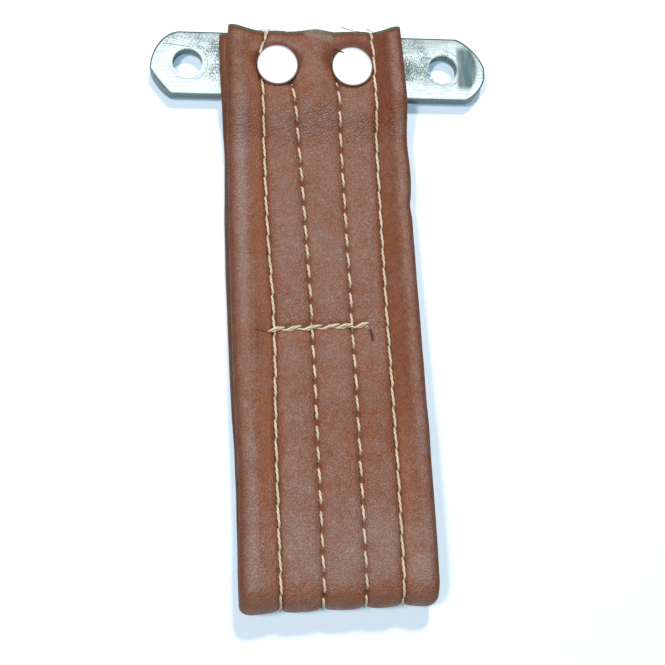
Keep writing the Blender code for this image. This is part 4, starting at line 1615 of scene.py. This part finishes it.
class PULLSTRAP_OT_rivets(bpy.types.Operator):
    """Build the two flat headed rivets"""

    bl_idname = "pullstrap.rivets"
    bl_label = "Rivets"

    def execute(self, context):
        material = rivet_material()
        for side in ("left", "right"):
            node = f"rivet_{side}"
            piece = finish_piece(
                f"bright_{node}", build_rivet(node), (material,), node, slot="bright_rivet"
            )
            piece.data.set_sharp_from_angle(angle=math.radians(50.0))
        return {"FINISHED"}


class PULLSTRAP_OT_seams(bpy.types.Operator):
    """Sew the four lengthwise seams"""

    bl_idname = "pullstrap.seams"
    bl_label = "Seams"

    def execute(self, context):
        shape = StrapShape()
        look = settings("strap_thread")
        turns = (shape.last_run + shape.FRONT_END) / look.twist
        material = thread_material("cream_seam_thread", turns)
        for row in range(4):
            bm = new_body()
            stops = seam_stops(shape, Needle(shape, row))
            thread_body(bm, stops, look.seam_diameter, look.twist, shade_and_soil=0.6)
            finish_piece(
                f"seam_{row + 1}", bm, (material,), f"seam_thread_{row + 1}", slot="cream_thread"
            )
        return {"FINISHED"}


class PULLSTRAP_OT_tack(bpy.types.Operator):
    """Sew the bar tack across the middle"""

    bl_idname = "pullstrap.tack"
    bl_label = "Bar Tack"

    def execute(self, context):
        shape = StrapShape()
        look = settings("strap_thread")
        bm = new_body()
        for turn in (0.0, math.pi):
            thread_body(bm, tack_ground(shape, turn), look.tack_diameter, look.twist)
            for number in range(shape.TACK_TURNS):
                stops = tack_stitch(shape, number, turn)
                thread_body(bm, stops, look.tack_diameter, look.twist * 2.2)
        material = thread_material("cream_tack_thread", 3.0)
        finish_piece("twisted_bar_tack", bm, (material,), "bar_tack", slot="cream_thread")
        return {"FINISHED"}


class PULLSTRAP_OT_fibres(bpy.types.Operator):
    """Add the loose fibres of the top edge and the burr at the right rivet"""

    bl_idname = "pullstrap.fibres"
    bl_label = "Loose Fibres"

    FRAY_FIBRES = 24

    def execute(self, context):
        shape = StrapShape()
        look = shape.look
        rng = random.Random(7)
        dark = fibre_material()
        top = look.panel_thickness - look.squeeze
        strands = []
        for line in TOP_FIBRES:
            points = []
            for step, (across, along) in enumerate(line):
                place = shape.place(across * MM, top + 0.35 * MM, along * MM, 0.0)
                points.append((place, 1.0 - 0.15 * step))
            strands.append(points)
        fibre_curve("dark_top_fibres", strands, 0.22 * MM, dark)

        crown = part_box("rivet_right")[1][2]
        points = []
        for step, (across, along, over) in enumerate(HEAD_BURR):
            place = shape.on_table(across * MM, along * MM, crown + over * MM)
            points.append((place, 1.0 - 0.27 * step))
        fibre_curve("vinyl_burr", [points], 0.55 * MM, dark)

        pale = thread_material("cream_loose_ends", 4.0)
        strands = []
        root = shape.seam(0, -shape.FRONT_END) + 0.3 * MM
        for _ in range(self.FRAY_FIBRES):
            lean = rng.uniform(-1.6, 1.3) * 0.09 * MM
            lift = rng.uniform(-0.25, 0.3) * 0.5 * MM
            climb = rng.uniform(0.4, 0.8) * 0.7 * MM
            points = []
            for step in range(5):
                across = root + lean * step * step
                along = 0.9 * MM - shape.FRONT_END - climb * step
                place = shape.place(across, top + 0.1 * MM + lift * step, along, 0.0)
                points.append((place, 1.0 - 0.17 * step))
            strands.append(points)
        piece = fibre_curve("cream_top_fray", strands, 0.17 * MM, pale)
        return {"FINISHED"}


class PULLSTRAP_OT_stage(bpy.types.Operator):
    """Set the white table, the lamps and the camera"""

    bl_idname = "pullstrap.stage"
    bl_label = "Stage"

    # Where the camera stands and how it is turned
    CAMERA_PLACE = Vector((-26.97, -53.0, 250.8)) * MM
    CAMERA_TURN = (10.8946, -6.5, -0.0293)
    TABLE_REACH = 1.5
    LAMP_DISTANCE = 1.0
    # Direction and size of each lamp
    LAMPS = {"back_lamp": ((0.10, 0.60, 1.0), 0.11), "left_lamp": ((-0.40, 0.0, 1.0), 0.14)}
    ROOM_TOP = Vector((-0.12, 0.04, 1.0))

    def execute(self, context):
        look = settings("strap_studio")
        self.lay_floor(look)
        for name, (direction, size) in self.LAMPS.items():
            self.hang_lamp(name, Vector(direction).normalized(), getattr(look, name), size)
        self.light_room(look)
        self.place_camera(look)
        context.scene.view_settings.view_transform = "Standard"
        return {"FINISHED"}

    def lay_floor(self, look):
        """A white table that also glows a little for the camera, so that it stays white."""
        bm = bmesh.new()
        bmesh.ops.create_grid(bm, x_segments=1, y_segments=1, size=self.TABLE_REACH)
        mesh = new_mesh("table", bm)
        nodes = Finish("white_table")
        path = nodes.add("ShaderNodeLightPath").outputs
        seen = nodes.math("MULTIPLY_ADD", path["Is Glossy Ray"], 0.3, path["Is Camera Ray"])
        glow = nodes.add("ShaderNodeEmission", {"Color": look.glow, "Strength": seen})
        material = nodes.done(Base_Color=look.floor, Roughness=0.9, Specular_IOR_Level=0.1)
        both = {0: nodes.shader.outputs[0], 1: glow.outputs[0]}
        both = nodes.add("ShaderNodeAddShader", both).outputs[0]
        nodes.feed(nodes.tree.nodes["Material Output"], {"Surface": both})
        mesh.materials.append(material)
        add_object("table", mesh)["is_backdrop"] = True

    def hang_lamp(self, name, direction, level, size):
        """A round lamp whose light on the floor is the given share of full light."""
        lamp = bpy.data.lights.new(name, "AREA")
        lamp.shape = "DISK"
        lamp.size = size
        lamp.energy = level * math.pi**2 * self.LAMP_DISTANCE**2 / direction.z
        holder = add_object(name, lamp)
        holder.location = direction * self.LAMP_DISTANCE
        holder.rotation_euler = direction.to_track_quat("Z", "Y").to_euler()
        holder.visible_glossy = False

    def light_room(self, look):
        """A dim cool room, white to the camera and, overhead, to what is glossy."""
        world = bpy.data.worlds.new("white_room")
        world.use_nodes = True
        bpy.context.scene.world = world
        nodes = Nodes(world.node_tree)
        path = nodes.add("ShaderNodeLightPath").outputs
        sky = nodes.add("ShaderNodeTexCoord").outputs["Generated"]
        facing = nodes.vector("DOT_PRODUCT", sky, self.ROOM_TOP.normalized())
        overhead = nodes.ramp(facing, 0.45, 0.95, 0.2, 1.7)
        seen = nodes.math("ADD", nodes.times(path["Is Glossy Ray"], overhead), path["Is Camera Ray"])
        strength = nodes.more(seen, look.room)
        background = nodes.tree.nodes["Background"]
        nodes.feed(background, {"Color": (0.92, 0.985, 1.0, 1.0), "Strength": strength})

    def place_camera(self, look):
        """The photograph's view: from above the fold, looking down a little up the strap."""
        camera = bpy.data.cameras.new("camera")
        camera.sensor_width = 36.0
        camera.lens = look.lens
        holder = add_object("camera", camera)
        across, up, roll = (math.radians(angle) for angle in self.CAMERA_TURN)
        turned = Matrix.Rotation(across, 3, "X") @ Matrix.Rotation(up, 3, "Y")
        turned = turned @ Matrix.Rotation(roll, 3, "Z")
        holder.rotation_euler = turned.to_euler()
        holder.location = self.CAMERA_PLACE
        bpy.context.scene.camera = holder


BUILDERS = (
    PULLSTRAP_OT_strap,
    PULLSTRAP_OT_bar,
    PULLSTRAP_OT_rivets,
    PULLSTRAP_OT_seams,
    PULLSTRAP_OT_tack,
    PULLSTRAP_OT_fibres,
    PULLSTRAP_OT_stage,
)


class PULLSTRAP_PT_panel(bpy.types.Panel):
    """Settings and builders of the pull strap"""

    bl_label = "Pull Strap"
    bl_idname = "PULLSTRAP_PT_panel"
    bl_space_type = "VIEW_3D"
    bl_region_type = "UI"
    bl_category = "Pull Strap"

    def draw(self, context):
        layout = self.layout
        for builder in BUILDERS:
            layout.operator(builder.bl_idname)
        for name, _ in GROUPS:
            group = getattr(context.scene, name)
            column = layout.column(align=True)
            for key in group.bl_rna.properties.keys():
                if key not in ("rna_type", "name"):
                    column.prop(group, key)


GROUPS = (
    ("vinyl_strap", VinylStrapSettings),
    ("strap_thread", ThreadSettings),
    ("strap_metal", MetalSettings),
    ("strap_studio", StudioSettings),
)


def register():
    for name, group in GROUPS:
        bpy.utils.register_class(group)
        setattr(bpy.types.Scene, name, PointerProperty(type=group))
    for item in (*BUILDERS, PULLSTRAP_PT_panel):
        bpy.utils.register_class(item)


def unregister():
    for item in reversed((*BUILDERS, PULLSTRAP_PT_panel)):
        bpy.utils.unregister_class(item)
    for name, group in reversed(GROUPS):
        delattr(bpy.types.Scene, name)
        bpy.utils.unregister_class(group)


def main():
    register()
    for builder in BUILDERS:
        category, name = builder.bl_idname.split(".")
        getattr(getattr(bpy.ops, category), name)()
    boxes = {"cad": cad_bounds, "visual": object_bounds()}
    boxes = {key: [list(corner) for corner in box] for key, box in boxes.items()}


if __name__ == "__main__":
    main()
